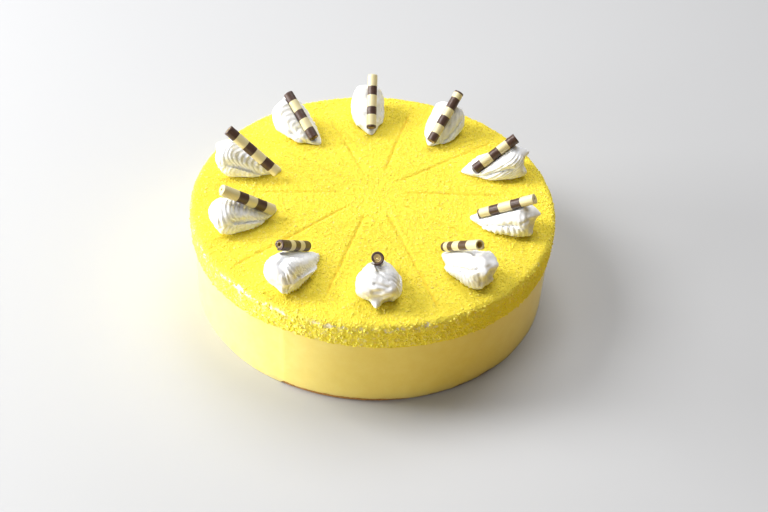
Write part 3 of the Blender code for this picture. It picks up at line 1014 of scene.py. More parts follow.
    def scatter(self, surface: bpy.types.Mesh) -> list[bpy.types.Object]:
        """Scatters the loose crumbs.

        Args:
            surface: The finished packed surface.

        Returns:
            One piece for each size of crumb.
        """
        tree = crumb_tree(GRAINS.material())
        names = {item.name: item.identifier for item in tree.interface.items_tree if item.in_out == "INPUT"}
        pieces = []
        for crumb in CRUMBS:
            piece = place_object(crumb.name, surface)
            spread = piece.modifiers.new("Scattered", "NODES")
            spread.node_group = tree
            values = {
                "Size": crumb.size, "Least": crumb.least, "Most": crumb.most, "Density": crumb.density,
                "Seed": crumb.seed, "Roundness": crumb.faces, "Where": crumb.where.value,
            }
            for name, value in values.items():
                spread[names[name]] = value
            pieces.append(hand_over(settled(piece), "crumbs"))
        return pieces

    def build(self) -> list[bpy.types.Object]:
        """Builds and dresses the layer and its crumbs.

        Returns:
            The finished pieces.
        """
        mesh = self.build_mesh()
        self.shape_relief(mesh)
        coat = dressed(mesh, COAT.material(), "crumbs", "crumb_top")
        return [coat, *self.scatter(mesh)]


# Piped shells


@dataclass(frozen=True)
class Toe:
    """A small peak drawn out of a shell, placed by fractions of its length, half width and height."""

    along: float
    aside: float
    height: float
    turn: float
    push: float
    spread: float


@dataclass(frozen=True)
class Dab:
    """A rounded swelling (or a dent, if its push is negative) of a shell's surface, placed in millimetres."""

    along: float
    aside: float
    up: float
    spread: float
    push: float


@dataclass(frozen=True)
class Crease:
    """A furrow on a shell: its width, its depth and the broken line that it follows, in millimetres."""

    width: float
    depth: float
    line: tuple[Triple, ...]


@dataclass(frozen=True)
class Roll:
    """One chocolate roll: where its inner end lies, its direction, its size and where its bands change."""

    angle: float
    heading: float
    inner_radius: float
    inner_height: float
    length: float
    tilt: float
    radius: float
    pale_first: bool
    edges: tuple[float, ...]
    turns: float = 2.1
    hollow: float = 0.6
    sheet: float = 0.00078

    def frame(self) -> tuple[np.ndarray, ...]:
        """Works out where the roll lies.

        Returns:
            The inner end, and the roll's own directions along, across and up.
        """
        start = polar(self.inner_radius, self.angle, CAKE_HEIGHT + self.inner_height)
        tilt = math.radians(self.tilt)
        flat = polar(1.0, self.heading)
        along = Vector((flat.x * math.cos(tilt), flat.y * math.cos(tilt), math.sin(tilt)))
        across = Vector((-flat.y, flat.x, 0.0))
        return tuple(np.array(part) for part in (start, along, across, along.cross(across)))


@dataclass(frozen=True)
class Shell:
    """One piped shell: where its tail and outer end lie, its sizes, and what is drawn on it."""

    tail_angle: float
    tail_radius: float
    end_angle: float
    end_radius: float
    width: float
    height: float
    lower_tail: float
    bow: float
    toes: tuple[Toe, ...] = ()
    curl_edge: float = 0.0005
    curls: float = 1.0
    barbs: float = 0.4
    lean: float = 0.2
    spacing: float = 1.0
    fill: float = 0.6
    dabs: tuple[Dab, ...] = ()
    creases: tuple[Crease, ...] = ()


START_LEFT = Toe(0.26, 0.82, 0.10, 150.0, 0.0020, 0.0024)
START_RIGHT = Toe(0.26, -0.75, 0.05, -150.0, 0.0020, 0.0022)
WIDE_START = Toe(0.30, 0.80, 0.15, 100.0, 0.0036, 0.0040)
WING = Toe(0.97, -0.50, 0.78, -8.0, 0.0036, 0.0026)
NOTCH = Toe(1.0, -0.44, 0.48, 180.0, 0.0030, 0.0024)
LOBE = Toe(0.93, -0.50, 0.12, -25.0, 0.0028, 0.0026)
LONG_LOBE = Toe(0.93, -0.55, 0.12, -15.0, 0.0044, 0.0027)
LEFT_CORNER = Toe(0.94, 0.75, 0.10, 50.0, 0.0020, 0.0026)
FRONT_DENT = Toe(1.0, -0.05, 0.34, 180.0, 0.0024, 0.0020)
FRONT_BEAD = Toe(0.97, 0.02, 0.06, -5.0, 0.0062, 0.0025)
FRONT_RECESS = Toe(0.93, 0.50, 0.18, 205.0, 0.0030, 0.0028)
FRONT_LIFT = Toe(0.97, -0.42, 0.08, 170.0, 0.0016, 0.0034)
LEFT_PEAK = Toe(0.93, 0.42, 0.09, 35.0, 0.0030, 0.0024)
SIDE_TIP = Toe(0.94, 0.04, 0.77, 0.0, 0.0042, 0.0022)
LEFT_TIP = Toe(0.94, 0.28, 0.72, 15.0, 0.0036, 0.0020)
LEFT_NOTCH = Toe(0.97, 0.30, 0.42, 200.0, 0.0042, 0.0032)
LEFT_BEAD = Toe(0.97, 0.08, 0.22, 48.0, 0.0040, 0.0021)
RIGHT_END = (WING, NOTCH, LOBE)

FRONT_LEFT_CREVICE = Crease(1.3, 1.2, (
    (16.3, 1.0, 10.8), (24.6, 0.6, 16.1), (31.0, 0.8, 18.9), (34.1, 0.4, 18.1),
    (35.6, 2.7, 17.0), (36.3, 5.7, 14.9), (36.4, 7.6, 11.7), (36.4, 8.2, 5.0),
))
FRONT_CREASES = (
    Crease(0.8, 0.7, ((22.6, -1.5, 14.1), (30.0, 0.6, 18.3), (33.1, 3.3, 17.8), (34.6, 6.0, 16.6))),
    Crease(0.9, 0.8, ((36.6, -1.6, 15.9), (37.3, 2.0, 15.3), (37.4, 5.6, 14.3))),
    Crease(1.5, 1.3, ((39.1, -2.2, 11.6), (38.7, 1.1, 12.6))),
    Crease(1.4, 1.5, ((38.8, 5.4, 9.2), (38.9, 3.4, 8.0), (39.0, 1.0, 6.9))),
)
FRONT_DABS = (
    Dab(37.0, 7.6, 12.4, 2.0, 1.1), Dab(21.0, 4.8, 13.0, 1.8, 1.6), Dab(37.8, -0.2, 14.0, 1.1, 0.5),
)
FRONT_RIGHT_CREASES = (
    Crease(0.9, 0.8, (
        (16.6, -8.2, 6.5), (23.2, -9.3, 10.4), (28.8, -9.3, 12.9),
        (32.1, -6.8, 14.4), (33.9, -2.7, 14.7), (34.3, 3.0, 14.4),
    )),
    Crease(0.8, 1.0, ((33.4, -7.4, 12.6), (34.7, -6.4, 8.1), (34.4, -6.8, 3.0))),
    Crease(0.8, 1.1, ((35.6, -1.2, 13.0), (36.2, -2.4, 8.0), (36.0, -3.0, 3.0))),
)
FRONT_RIGHT_DABS = (Dab(35.2, -4.4, 11.6, 1.0, 0.5), Dab(31.8, -1.5, 16.6, 2.2, 0.5))
SIDE_SHADE = Crease(1.0, 0.7, ((36.8, -1.4, 11.4), (34.2, -6.1, 12.4), (31.1, -9.1, 11.2)))

# The ten shells, clockwise from the back left one.
SHELLS = (
    Shell(
        159.3, 0.0591, 167.5, 0.0964, 0.0217, 0.0198, 0.30, -0.0007, (START_LEFT, *RIGHT_END),
        curl_edge=-0.003, curls=0.8, fill=0.75,
    ),
    Shell(
        124.9, 0.0593, 130.0, 0.0953, 0.0223, 0.0202, 0.24, 0.0001, (START_LEFT, *RIGHT_END),
        curls=0.45, fill=0.8,
    ),
    Shell(
        93.0, 0.0608, 94.1, 0.0965, 0.0211, 0.0195, 0.28, 0.0008, (START_LEFT, *RIGHT_END),
        curls=0.4, barbs=0.6, lean=-0.9, fill=0.8,
    ),
    Shell(
        58.2, 0.0616, 59.2, 0.0925, 0.0220, 0.0192, 0.20, -0.0004, (LOBE,),
        curls=0.4, barbs=1.3, lean=-0.8, spacing=0.85,
    ),
    Shell(
        28.3, 0.0586, 19.7, 0.0954, 0.0212, 0.0183, 0.28, -0.0006, (WIDE_START, SIDE_TIP, NOTCH, LONG_LOBE),
        curls=0.5, barbs=1.2, lean=-1.5, creases=(SIDE_SHADE,),
    ),
    Shell(
        -15.2, 0.0573, -15.2, 0.0952, 0.0207, 0.0179, 0.26, -0.0002, (START_RIGHT, SIDE_TIP, NOTCH, LOBE),
        curls=0.5, barbs=0.3, spacing=1.2, creases=(SIDE_SHADE,),
    ),
    Shell(
        -50.2, 0.0610, -48.7, 0.0970, 0.0221, 0.0190, 0.22, 0.0001,
        (LEFT_TIP, LEFT_NOTCH, LEFT_BEAD, WING, LOBE),
        curls=0.6, dabs=FRONT_RIGHT_DABS, creases=FRONT_RIGHT_CREASES,
    ),
    Shell(
        -85.2, 0.0540, -87.4, 0.0933, 0.0243, 0.0197, 0.24, 0.0003,
        (FRONT_DENT, FRONT_BEAD, FRONT_RECESS, FRONT_LIFT),
        curl_edge=0.003, curls=1.2, spacing=0.9, dabs=FRONT_DABS, creases=FRONT_CREASES,
    ),
    Shell(
        -120.5, 0.0597, -120.6, 0.0988, 0.0204, 0.0204, 0.22, -0.0008, (LEFT_PEAK,),
        curls=2.0, spacing=0.80, fill=1.2, creases=(FRONT_LEFT_CREVICE,),
    ),
    Shell(
        -163.7, 0.0574, -158.2, 0.0968, 0.0212, 0.0184, 0.28, 0.0001, (START_LEFT, LEFT_CORNER),
        curl_edge=-0.005, curls=1.1, fill=1.0,
    ),
)

# Each shell's roll, in the same order.
ROLLS = (
    Roll(
        167.3, 167.3, 0.0585, 0.0053, 0.0380, 40.0, 0.0034, False, (0.165, 0.355, 0.52, 0.71, 0.87),
        turns=2.4, hollow=0.4,
    ),
    Roll(127.8, 127.8, 0.0616, 0.0053, 0.0329, 29.7, 0.0034, False, (0.185, 0.40, 0.59, 0.80)),
    Roll(93.0, 91.0, 0.0618, 0.0054, 0.0340, 38.0, 0.0034, True, (0.22, 0.39, 0.61, 0.76, 0.96)),
    Roll(56.1, 56.1, 0.0608, 0.0053, 0.0354, 34.9, 0.0034, False, (0.03, 0.13, 0.34, 0.50, 0.68, 0.85)),
    Roll(22.1, 22.1, 0.0640, 0.0053, 0.0307, 34.7, 0.0034, False, (0.20, 0.41, 0.60, 0.82)),
    Roll(
        -16.0, -16.0, 0.0629, 0.0053, 0.0351, 33.0, 0.0033, True, (0.23, 0.40, 0.62, 0.79, 0.97),
        turns=3.4, hollow=0.3,
    ),
    Roll(
        -49.8, -49.8, 0.0619, 0.0053, 0.0324, 37.6, 0.0034, True, (0.28, 0.50, 0.68, 0.82, 0.93),
        turns=1.2, hollow=1.0, sheet=0.0013,
    ),
    Roll(
        -86.8, -90.4, 0.0588, 0.0054, 0.0345, 42.0, 0.0040, False, (0.19, 0.38, 0.57, 0.76),
        turns=3.8, hollow=0.9, sheet=0.0012,
    ),
    Roll(
        -124.6, -124.6, 0.0620, 0.0053, 0.0284, 35.9, 0.0033, False, (0.28, 0.44, 0.62, 0.78),
        turns=2.3, hollow=0.5, sheet=0.0011,
    ),
    Roll(
        -159.2, -159.2, 0.0604, 0.0053, 0.0352, 36.3, 0.0034, True, (0.29, 0.47, 0.64, 0.82),
        turns=3.4, hollow=0.2,
    ),
)


@dataclass
class PipedShell:
    """A shell of whipped cream: a band folded back over itself, with the ridges that its nozzle left."""

    number: int
    shell: Shell
    roll: Roll
    fold_along: float = 0.74
    fold_up: float = 0.45
    fold_swell: float = 0.06
    tip_crease: float = 0.0007
    tip_top: float = 0.0016
    top_along: float = 0.80
    top_curve: float = 1.08
    upper_share: float = 0.86
    upper_along: float = 0.70
    lower_along: float = 0.62
    lower_least: float = 0.9
    leg_rounding: float = 0.61
    belly: float = 1.25
    left_square: float = 0.78
    undercut: float = math.radians(30)
    arc_steps: int = 40
    leg_steps: int = 26
    fold_steps: int = 26
    weld: float = 0.00003
    skin: float = 0.00031
    ridge: float = 0.00050
    pitch: float = 0.0029
    fold_pitch: float = 0.00235
    pitch_change: float = 0.0280
    phase: float = -0.351
    curl_apex: float = 0.70
    upper_bend: float = 0.0041
    lower_bend: float = 0.0024
    bead_radius: float = 0.0045
    bead_height: float = 0.48
    bead_share: float = 0.8
    edge_lean: float = 0.75
    left_fade: float = 0.0012
    right_from: float = 1.95
    right_fade: float = 0.4
    streaks: int = 17
    crown_share: float = 0.08
    sway: float = 0.0004
    ground_fade: float = 0.0012
    ground_least: float = 0.15
    right_fill: float = 0.15
    brim_reach: float = 0.006
    brim_width: float = 0.0018
    sink: float = 0.0002
    bed_gap: float = 0.0001
    bed_start: float = 0.0012
    bed_past: float = 0.002
    cling_from: float = 0.004
    cling: float = 0.0028
    roll_fade: float = 0.0018

    def __post_init__(self) -> None:
        """Works out the shell's own place and lengths."""
        shell = self.shell
        self.tail = polar(shell.tail_radius, shell.tail_angle)
        self.run = polar(shell.end_radius, shell.end_angle) - self.tail
        self.length = self.run.length
        self.half_width = shell.width / 2
        self.lower_tail = shell.lower_tail * self.length
        self.fold_x = self.fold_along * self.length
        self.fold_z = self.fold_up * shell.height
        self.fold_top = float(self.top_height(np.array(self.fold_x))) - self.fold_z

    def in_cake(self, points: np.ndarray) -> np.ndarray:
        """Takes points from the shell's own frame to the cake's.

        Args:
            points: Rows of x, y and z in the shell's frame.

        Returns:
            The same points in the cake's frame.
        """
        place = Matrix.Translation((self.tail.x, self.tail.y, CAKE_HEIGHT + LAYER_GAP))
        matrix = np.array(place @ Matrix.Rotation(math.atan2(self.run.y, self.run.x), 4, "Z"))
        return points @ matrix[:3, :3].T + matrix[:3, 3]

    def crease_height(self, x: np.ndarray) -> np.ndarray:
        """How high the crease between the two legs runs."""
        rise = ramp(x - 0.5 * self.lower_tail, self.fold_x - 0.5 * self.lower_tail)
        return self.tip_crease + (self.fold_z - self.tip_crease) * rise * rise * (3 - 2 * rise)

    def top_height(self, x: np.ndarray) -> np.ndarray:
        """How high the top runs."""
        rise = ramp(x, self.top_along * self.length)
        return self.tip_top + (self.shell.height - self.tip_top) * rise**self.top_curve

    def rounded(self, run: np.ndarray) -> np.ndarray:
        """How a leg widens, from 0 at its start to 1."""
        return np.sin(math.pi / 2 * run) ** self.leg_rounding

    def upper_width(self, x: np.ndarray) -> np.ndarray:
        """Half width of the upper leg."""
        return self.upper_share * self.half_width * self.rounded(ramp(x, self.upper_along * self.length))

    def lower_width(self, x: np.ndarray) -> np.ndarray:
        """Works out the half width of the lower leg, never much narrower than the upper one.

        Args:
            x: Places along the shell.

        Returns:
            One half width for each place.
        """
        narrow = self.lower_least * self.upper_width(x)
        run = ramp(x - self.lower_tail, self.lower_along * self.length - self.lower_tail)
        return narrow + (self.half_width - narrow) * self.rounded(run)

    def band_width(self, x: np.ndarray, up: np.ndarray) -> np.ndarray:
        """Half width of the band, from its lower leg (up is -1) to its upper one (1)."""
        blend = 0.5 - 0.5 * up
        return self.upper_width(x) * (1 - blend) + self.lower_width(x) * blend

    def middle(self, x: np.ndarray) -> np.ndarray:
        """Sideways place of the middle line, which bows between tail and end."""
        return self.shell.bow * np.sin(math.pi * np.clip(x / self.length, 0, 1))

    def arc(self, width: float, reach: float) -> tuple[np.ndarray, np.ndarray]:
        """Draws the half section round one leg.

        Args:
            width: The leg's half width.
            reach: How far it stands off the crease.

        Returns:
            The sideways place and the distance from the crease of each point.
        """
        low = math.sin(self.undercut)
        angle = np.linspace(-self.undercut, math.pi + self.undercut, self.arc_steps + 1)
        across = np.cos(angle)
        across = np.where(across > 0, np.abs(across) ** self.left_square, across)
        return width * across, reach * low / (1 + low) + reach * np.sin(angle) / (1 + low)

    def with_toes(self, points: np.ndarray) -> np.ndarray:
        """Draws the points out where a toe is near.

        Args:
            points: Rows of x, y and z in the shell's frame.

        Returns:
            The moved points.
        """
        moved = points.copy()
        size = np.array([self.length, self.half_width, self.shell.height])
        for toe in self.shell.toes:
            root = np.array([toe.along, toe.aside, toe.height]) * size
            near = np.exp(-np.sum((points - root) ** 2, axis=1) / (2 * toe.spread**2))
            angle = math.radians(toe.turn)
            moved[:, 0] += near * toe.push * math.cos(angle)
            moved[:, 1] += near * toe.push * math.sin(angle)
        return moved

    def fold_reach(self, turn: np.ndarray) -> np.ndarray:
        """How far the outline lies from the fold's middle, by the angle round it."""
        tall = np.where(np.sin(turn) > 0, self.fold_top, self.belly * self.fold_z)
        return (1 + self.fold_swell * np.sin(2 * turn)) / np.hypot(
            np.cos(turn) / (self.length - self.fold_x), np.sin(turn) / tall
        )

    def section_rows(self) -> list[np.ndarray]:
        """Draws the half sections out along the upper leg, round the fold and back along the lower one.

        Returns:
            The points of each section.
        """
        rows, lower = [], []
        for i in range(self.leg_steps):
            x = np.array(self.fold_x * ((i + 1) / self.leg_steps) ** 1.05)
            crease = float(self.crease_height(x))
            y, away = self.arc(float(self.upper_width(x)), float(self.top_height(x)) - crease)
            rows.append(np.stack([np.full_like(y, x), y + float(self.middle(x)), crease + away], axis=1))
            y, away = self.arc(float(self.lower_width(x)), self.belly * crease)
            z = np.maximum(crease - away, 0.0)
            lower.append(np.stack([np.full_like(y, x), y + float(self.middle(x)), z], axis=1))
        at_fold = np.array(self.fold_x)
        wide, wider = float(self.upper_width(at_fold)), float(self.lower_width(at_fold))
        for step in range(1, self.fold_steps):
            turn = math.pi / 2 - math.pi * step / self.fold_steps
            blend = 0.5 - 0.5 * math.sin(turn)
            y, away = self.arc(wide * (1 - blend) + wider * blend, float(self.fold_reach(np.array(turn))))
            x = self.fold_x + away * math.cos(turn)
            z = np.maximum(self.fold_z + away * math.sin(turn), 0.0)
            rows.append(np.stack([x, y + self.middle(x), z], axis=1))
        return rows + lower[::-1]

    def blank(self) -> bpy.types.Mesh:
        """Builds the smooth closed form.

        Returns:
            Its mesh, ready for the even skin.
        """
        rows = self.section_rows()
        points = self.with_toes(np.vstack(rows))
        numbers = point_numbers(len(rows), self.arc_steps + 1)
        faces = quads_between(numbers, closed=False)
        tip = len(points)
        points = np.vstack([points, [[0.0, float(self.middle(np.array(0.0))), self.tip_crease]]])
        for i in range(self.arc_steps):
            faces.append((numbers[0][i], tip, numbers[0][i + 1]))
            faces.append((numbers[-1][i + 1], tip, numbers[-1][i]))
        shape = bmesh.new()
        corners = [shape.verts.new(point) for point in points]
        for face in faces:
            shape.faces.new([corners[i] for i in face])
        bmesh.ops.remove_doubles(shape, verts=shape.verts, dist=self.weld)
        slits = [edge for edge in shape.edges if edge.is_boundary]
        if slits:
            bmesh.ops.holes_fill(shape, edges=slits, sides=0)
        bmesh.ops.recalc_face_normals(shape, faces=shape.faces)
        mesh = bpy.data.meshes.new(f"cream_shell_{self.number:02d}")
        shape.to_mesh(mesh)
        shape.free()
        return mesh

    def band_place(self, points: np.ndarray) -> tuple[np.ndarray, np.ndarray, np.ndarray]:
        """Works out where each point lies on the folded band.

        Args:
            points: Rows of x, y and z in the shell's frame.

        Returns:
            The angle round the leg's section (0 left crease, pi right crease), the way up (1 at the
            top leg, -1 at the lower leg), and the height of the crease beside it.
        """
        x, y, z = points.T
        y = y - self.middle(x)
        at = np.minimum(x, self.fold_x)
        crease = self.crease_height(at)
        turn = np.arctan2(z - self.fold_z, np.maximum(x - self.fold_x, 1e-6))
        folded = x > self.fold_x
        away = np.where(folded, np.hypot(x - self.fold_x, z - self.fold_z), np.abs(z - crease))
        leg_reach = np.where(z > crease, self.top_height(at) - crease, self.belly * crease)
        reach = np.where(folded, self.fold_reach(turn), leg_reach)
        up = np.where(folded, np.sin(turn), np.sign(z - crease))
        low = math.sin(self.undercut)
        rise = away / np.maximum(reach, 1e-5) * (1 + low) - low
        across = y / np.maximum(self.band_width(at, up), 1e-5)
        across = np.where(across > 0, np.abs(across) ** (1 / self.left_square), across)
        section = np.arctan2(rise, across)
        return np.where(section < -math.pi / 2, section + math.tau, section), up, crease

    def ridge_count(self, along: np.ndarray) -> np.ndarray:
        """Counts the ridges before each place along the band, closer together where it folds.

        Args:
            along: Places along the band.

        Returns:
            The counts, with their fractions.
        """
        past = along - self.pitch_change
        count = np.minimum(past, 0) / self.pitch + np.maximum(past, 0) / self.fold_pitch
        return count / self.shell.spacing + self.phase

    def ridges(self, points: np.ndarray) -> np.ndarray:
        """Works out the nozzle's ridges: curls on the left, barbs on the right.

        Args:
            points: Rows of x, y and z in the shell's frame.

        Returns:
            How far they stand out at each point.
        """
        section, up, crease = self.band_place(points)
        x, y, z = points.T
        shell, seed = self.shell, 10.0 + self.number
        waver = noise_at(points, 0.007, seed)
        along = x + self.sway * waver
        upper = np.clip(0.5 + 2 * up, 0, 1)
        turned = section - self.curl_apex
        curl = np.where(turned > 0, self.upper_bend, self.lower_bend) * turned**2
        curls = crest(self.ridge_count(along + curl))
        bead = (z - self.bead_height * crease) ** 2 / (2 * self.bead_radius)
        beads = crest(self.ridge_count(along + bead) + 0.5)
        barbs = crest(self.ridge_count(along + shell.lean * z))
        span = math.pi + 2 * self.undercut
        streaks = crest((section + self.undercut) / span * self.streaks + 0.4 * waver)
        edge = shell.curl_edge + self.edge_lean * np.maximum(x - self.fold_x, 0)
        left = ramp(y - self.middle(x) - edge, self.left_fade)
        right = ramp(section - self.right_from, self.right_fade) * (1 - left)
        patchy = np.clip(0.9 + 0.4 * noise_at(points, 0.0085, seed + 1.0), 0.5, 1.15)
        on_left = left * shell.curls * (upper * curls + (1 - upper) * self.bead_share * beads)
        on_right = right * (upper * shell.barbs * barbs + (1 - upper) * (barbs if shell.lean < 0 else beads))
        crown = self.crown_share * (1 - right - left) * streaks
        return self.ridge * patchy * (on_left + on_right + crown) * self.roll_gap(points)

    def roll_gap(self, points: np.ndarray) -> np.ndarray:
        """Keeps the ridges off the roll.

        Args:
            points: Rows of x, y and z in the shell's frame.

        Returns:
            0 at the roll's face, up to 1 a little way off it.
        """
        start, _, across, up = self.roll.frame()
        offset = self.in_cake(points) - start
        return ramp(np.hypot(offset @ across, offset @ up) - self.roll.radius, self.roll_fade)

    def filled(self, points: np.ndarray) -> np.ndarray:
        """Fills the crease between the two legs a little, more so on the left.

        Args:
            points: Rows of x, y and z in the shell's frame.

        Returns:
            The moved points.
        """
        section, up, crease = self.band_place(points)
        at = np.minimum(points[:, 0], self.fold_x)
        left = 1 - np.cos(np.clip(section, -self.undercut, 0)) ** self.left_square
        right = 1 + np.cos(np.clip(section, math.pi, math.pi + self.undercut))
        moved = points.copy()
        moved[:, 1] += self.band_width(at, up) * (self.shell.fill * left - self.right_fill * right)
        brim = bell(points[:, 2] - crease, self.brim_width) * (points[:, 1] > 0)
        brim = brim * (1 - np.abs(up) ** 0.5 * (at >= self.fold_x))
        moved[:, 1] += self.brim_reach * max(self.shell.fill - 1, 0) * brim
        return moved

    def carve(self, points: np.ndarray, facing: np.ndarray) -> np.ndarray:
        """Adds ridges, soft swellings, dabs and creases, each along the surface's normal.

        Args:
            points: Rows of x, y and z in the shell's frame.
            facing: The normal at each point.

        Returns:
            The moved points.
        """
        seed = 20.0 + self.number
        swell = layered(points, (0.0006, 0.0080, seed), (0.0003, 0.0026, seed + 0.5))
        push = swell + self.ridges(points) - 0.5 * self.ridge
        for dab in self.shell.dabs:
            root = np.array([dab.along, dab.aside, dab.up]) / 1000
            near = np.exp(-np.sum((points - root) ** 2, axis=1) / (2 * (dab.spread / 1000) ** 2))
            push = push + near * dab.push / 1000
        for crease in self.shell.creases:
            away = np.full(len(points), 1.0)
            line = np.array(crease.line) / 1000
            for start, end in zip(line, line[1:]):
                way = end - start
                share = np.clip((points - start) @ way / (way @ way), 0, 1)
                away = np.minimum(away, np.linalg.norm(points - start - share[:, None] * way, axis=1))
            push = push - crease.depth / 1000 * bell(away, crease.width / 1000)
        ground = np.clip(points[:, 2] / self.ground_fade, self.ground_least, 1)
        return self.filled(points) + facing * (push * ground)[:, None]

    def press_bed(self, points: np.ndarray) -> np.ndarray:
        """Presses the bed that the roll lies in, and lets the cream cling to the roll beside it.

        Args:
            points: Rows of x, y and z in the cake's frame.

        Returns:
            The moved points.
        """
        start, along, across, up = self.roll.frame()
        offset = points - start
        out_along, aside, height = offset @ along, offset @ across, offset @ up
        radius = self.roll.radius + self.bed_gap
        rounding = np.sqrt(np.clip(1 - (np.minimum(out_along, 0) / self.bed_start) ** 2, 0, 1))
        under = (np.abs(aside) < radius * rounding) & (out_along < self.roll.length + self.bed_past)
        floor = -np.sqrt(np.maximum((radius * rounding) ** 2 - aside**2, 0.0))
        drop = np.where(under & (height > floor), height - floor, 0.0)
        gap = np.where(under & (out_along > 0) & (out_along < self.roll.length), floor - height, 0.0)
        hold = ramp(out_along, self.cling_from) * np.clip(1.6 * (1 - np.abs(aside) / radius), 0, 1)
        lift = np.where(gap > 0, gap * np.clip(2.0 * (1 - gap / self.cling), 0, 1), 0.0) * hold
        return points + (lift - drop)[:, None] * up

    def build(self, finish: bpy.types.Material) -> bpy.types.Object:
        """Builds and dresses the shell.

        Args:
            finish: The cream's material.

        Returns:
            The finished piece.
        """
        piece = place_object(f"cream_shell_{self.number:02d}", self.blank())
        skin = piece.modifiers.new("Even skin", "REMESH")
        skin.mode = "VOXEL"
        skin.voxel_size = self.skin
        mesh = settled(piece).data
        mesh.materials.clear()
        mesh.materials.append(finish)
        points = self.carve(read_rows(mesh.vertices, "co"), read_rows(mesh.vertex_normals, "vector"))
        points = self.in_cake(points)
        points[:, 2] -= self.sink
        move_points(mesh, self.press_bed(points))
        mesh.shade_smooth()
        return hand_over(piece, "cream", f"cream_{self.number:02d}")


@dataclass
class ChocolateRoll:
    """A thin sheet of chocolate rolled into a hollow stick, with pale bands across it."""

    number: int
    roll: Roll
    inner_sheet: float = 0.00042
    slack: float = 0.00010
    round_steps: int = 48
    ring_gap: float = 0.0005
    end_soft: float = 0.0003
    end_shrink: float = 0.00012
    gold_from: float = 0.95
    # How the radius wavers along the roll, as (share of the radius, radians in a metre).
    slow_wave: tuple[float, float] = (0.006, 1500.0)
    quick_wave: tuple[float, float] = (0.004, 4100.0)

    def outline(self) -> np.ndarray:
        """Draws the rolled sheet's end view, in along its outer face and back along its inner one.

        Returns:
            Rows of a sideways place and a height.
        """
        turns = self.roll.turns
        turn = np.linspace(0.0, turns, int(self.round_steps * turns))
        thin = (self.roll.sheet - self.inner_sheet) / turns
        outer = self.roll.radius - (self.roll.sheet + self.slack) * turn + thin * turn**2 / 2
        inner = outer - (self.roll.sheet - thin * turn)
        angle = turn * math.tau - math.pi / 2 + 0.5 * math.sin(2.1 * self.number)
        way = np.stack([np.cos(angle), np.sin(angle)], axis=1)
        return np.vstack([outer[:, None] * way, (inner[:, None] * way)[::-1]])

    def band_value(self, along: np.ndarray) -> np.ndarray:
        """Works out how far each place is inside a pale band.

        Args:
            along: Places along the roll.

        Returns:
            Above 0 in a pale band, below 0 in dark chocolate.
        """
        off = (1 - along / self.roll.length)[:, None] - np.array(self.roll.edges)[None, :]
        pale = ((off > 0).sum(axis=1) % 2 == 0) == self.roll.pale_first
        away = np.min(np.abs(off), axis=1) * self.roll.length / 0.001
        return np.where(pale, 1.0, -1.0) * np.minimum(away, 1.0)

    def build(self, finish: bpy.types.Material) -> bpy.types.Object:
        """Builds and dresses the roll.

        Args:
            finish: The chocolate's material.

        Returns:
            The finished piece.
        """
        section = self.outline()
        count, length = len(section), self.roll.length
        rings = int(length / self.ring_gap)
        along = np.linspace(0.0, length, rings + 1)
        edge_soft = np.minimum(np.minimum(along, length - along) / self.end_soft, 1.0)
        start, ahead, across, up = self.roll.frame()
        (slow, slow_pitch), (quick, quick_pitch) = self.slow_wave, self.quick_wave
        points = []
        for place, soft in zip(along, edge_soft):
            shrink = 1 - self.end_shrink * (1 - soft) / self.roll.radius
            wave = 1 + slow * math.sin(place * slow_pitch + self.number)
            ring = section * shrink * (wave + quick * math.sin(place * quick_pitch))
            points.append(start + place * ahead + ring[:, :1] * across + ring[:, 1:] * up)
        numbers = point_numbers(rings + 1, count)
        faces = quads_between(numbers, closed=True)
        faces += [tuple(numbers[0]), tuple(reversed(numbers[-1]))]
        mesh = mesh_from(f"chocolate_roll_{self.number:02d}", np.vstack(points), faces)
        turn_outward(mesh)
        keep_values(mesh, "band", np.repeat(self.band_value(along), count))
        half = count // 2
        inner = np.concatenate([np.zeros(half), np.ones(count - half)])
        within = ramp(along[:, None] * (length - along[:, None]), 0.00001)
        turn = np.linspace(0.0, self.roll.turns, half)
        wound = ramp(np.concatenate([turn, turn[::-1]]) - self.gold_from, 0.15)
        golden = inner * np.maximum(within, wound)
        keep_values(mesh, "inside", (golden * self.roll.hollow).ravel())
        return dressed(mesh, finish, "chocolate", f"choc_roll_{self.number:02d}")


# Studio


@dataclass(frozen=True)
class Lamp:
    """A square soft light: its name, place, side, power and colour."""

    name: str
    place: Triple
    side: float
    watts: float
    colour: Triple


LAMPS = (
    Lamp("window", (-1.00, 0.20, 1.00), 0.60, 18.0, (1.0, 0.985, 0.96)),
    Lamp("overhead", (0.2, 0.75, 1.6), 1.2, 22.0, (1.0, 0.985, 0.97)),
    Lamp("low_left", (-2.0, 0.10, 0.26), 0.70, 56.0, (1.0, 0.99, 0.97)),
    Lamp("front_left", (-1.20, -0.80, 0.34), 0.50, 8.0, (1.0, 0.99, 0.97)),
    Lamp("warm_low", (0.75, -0.75, 0.10), 0.50, 0.8, (1.0, 0.58, 0.08)),
)


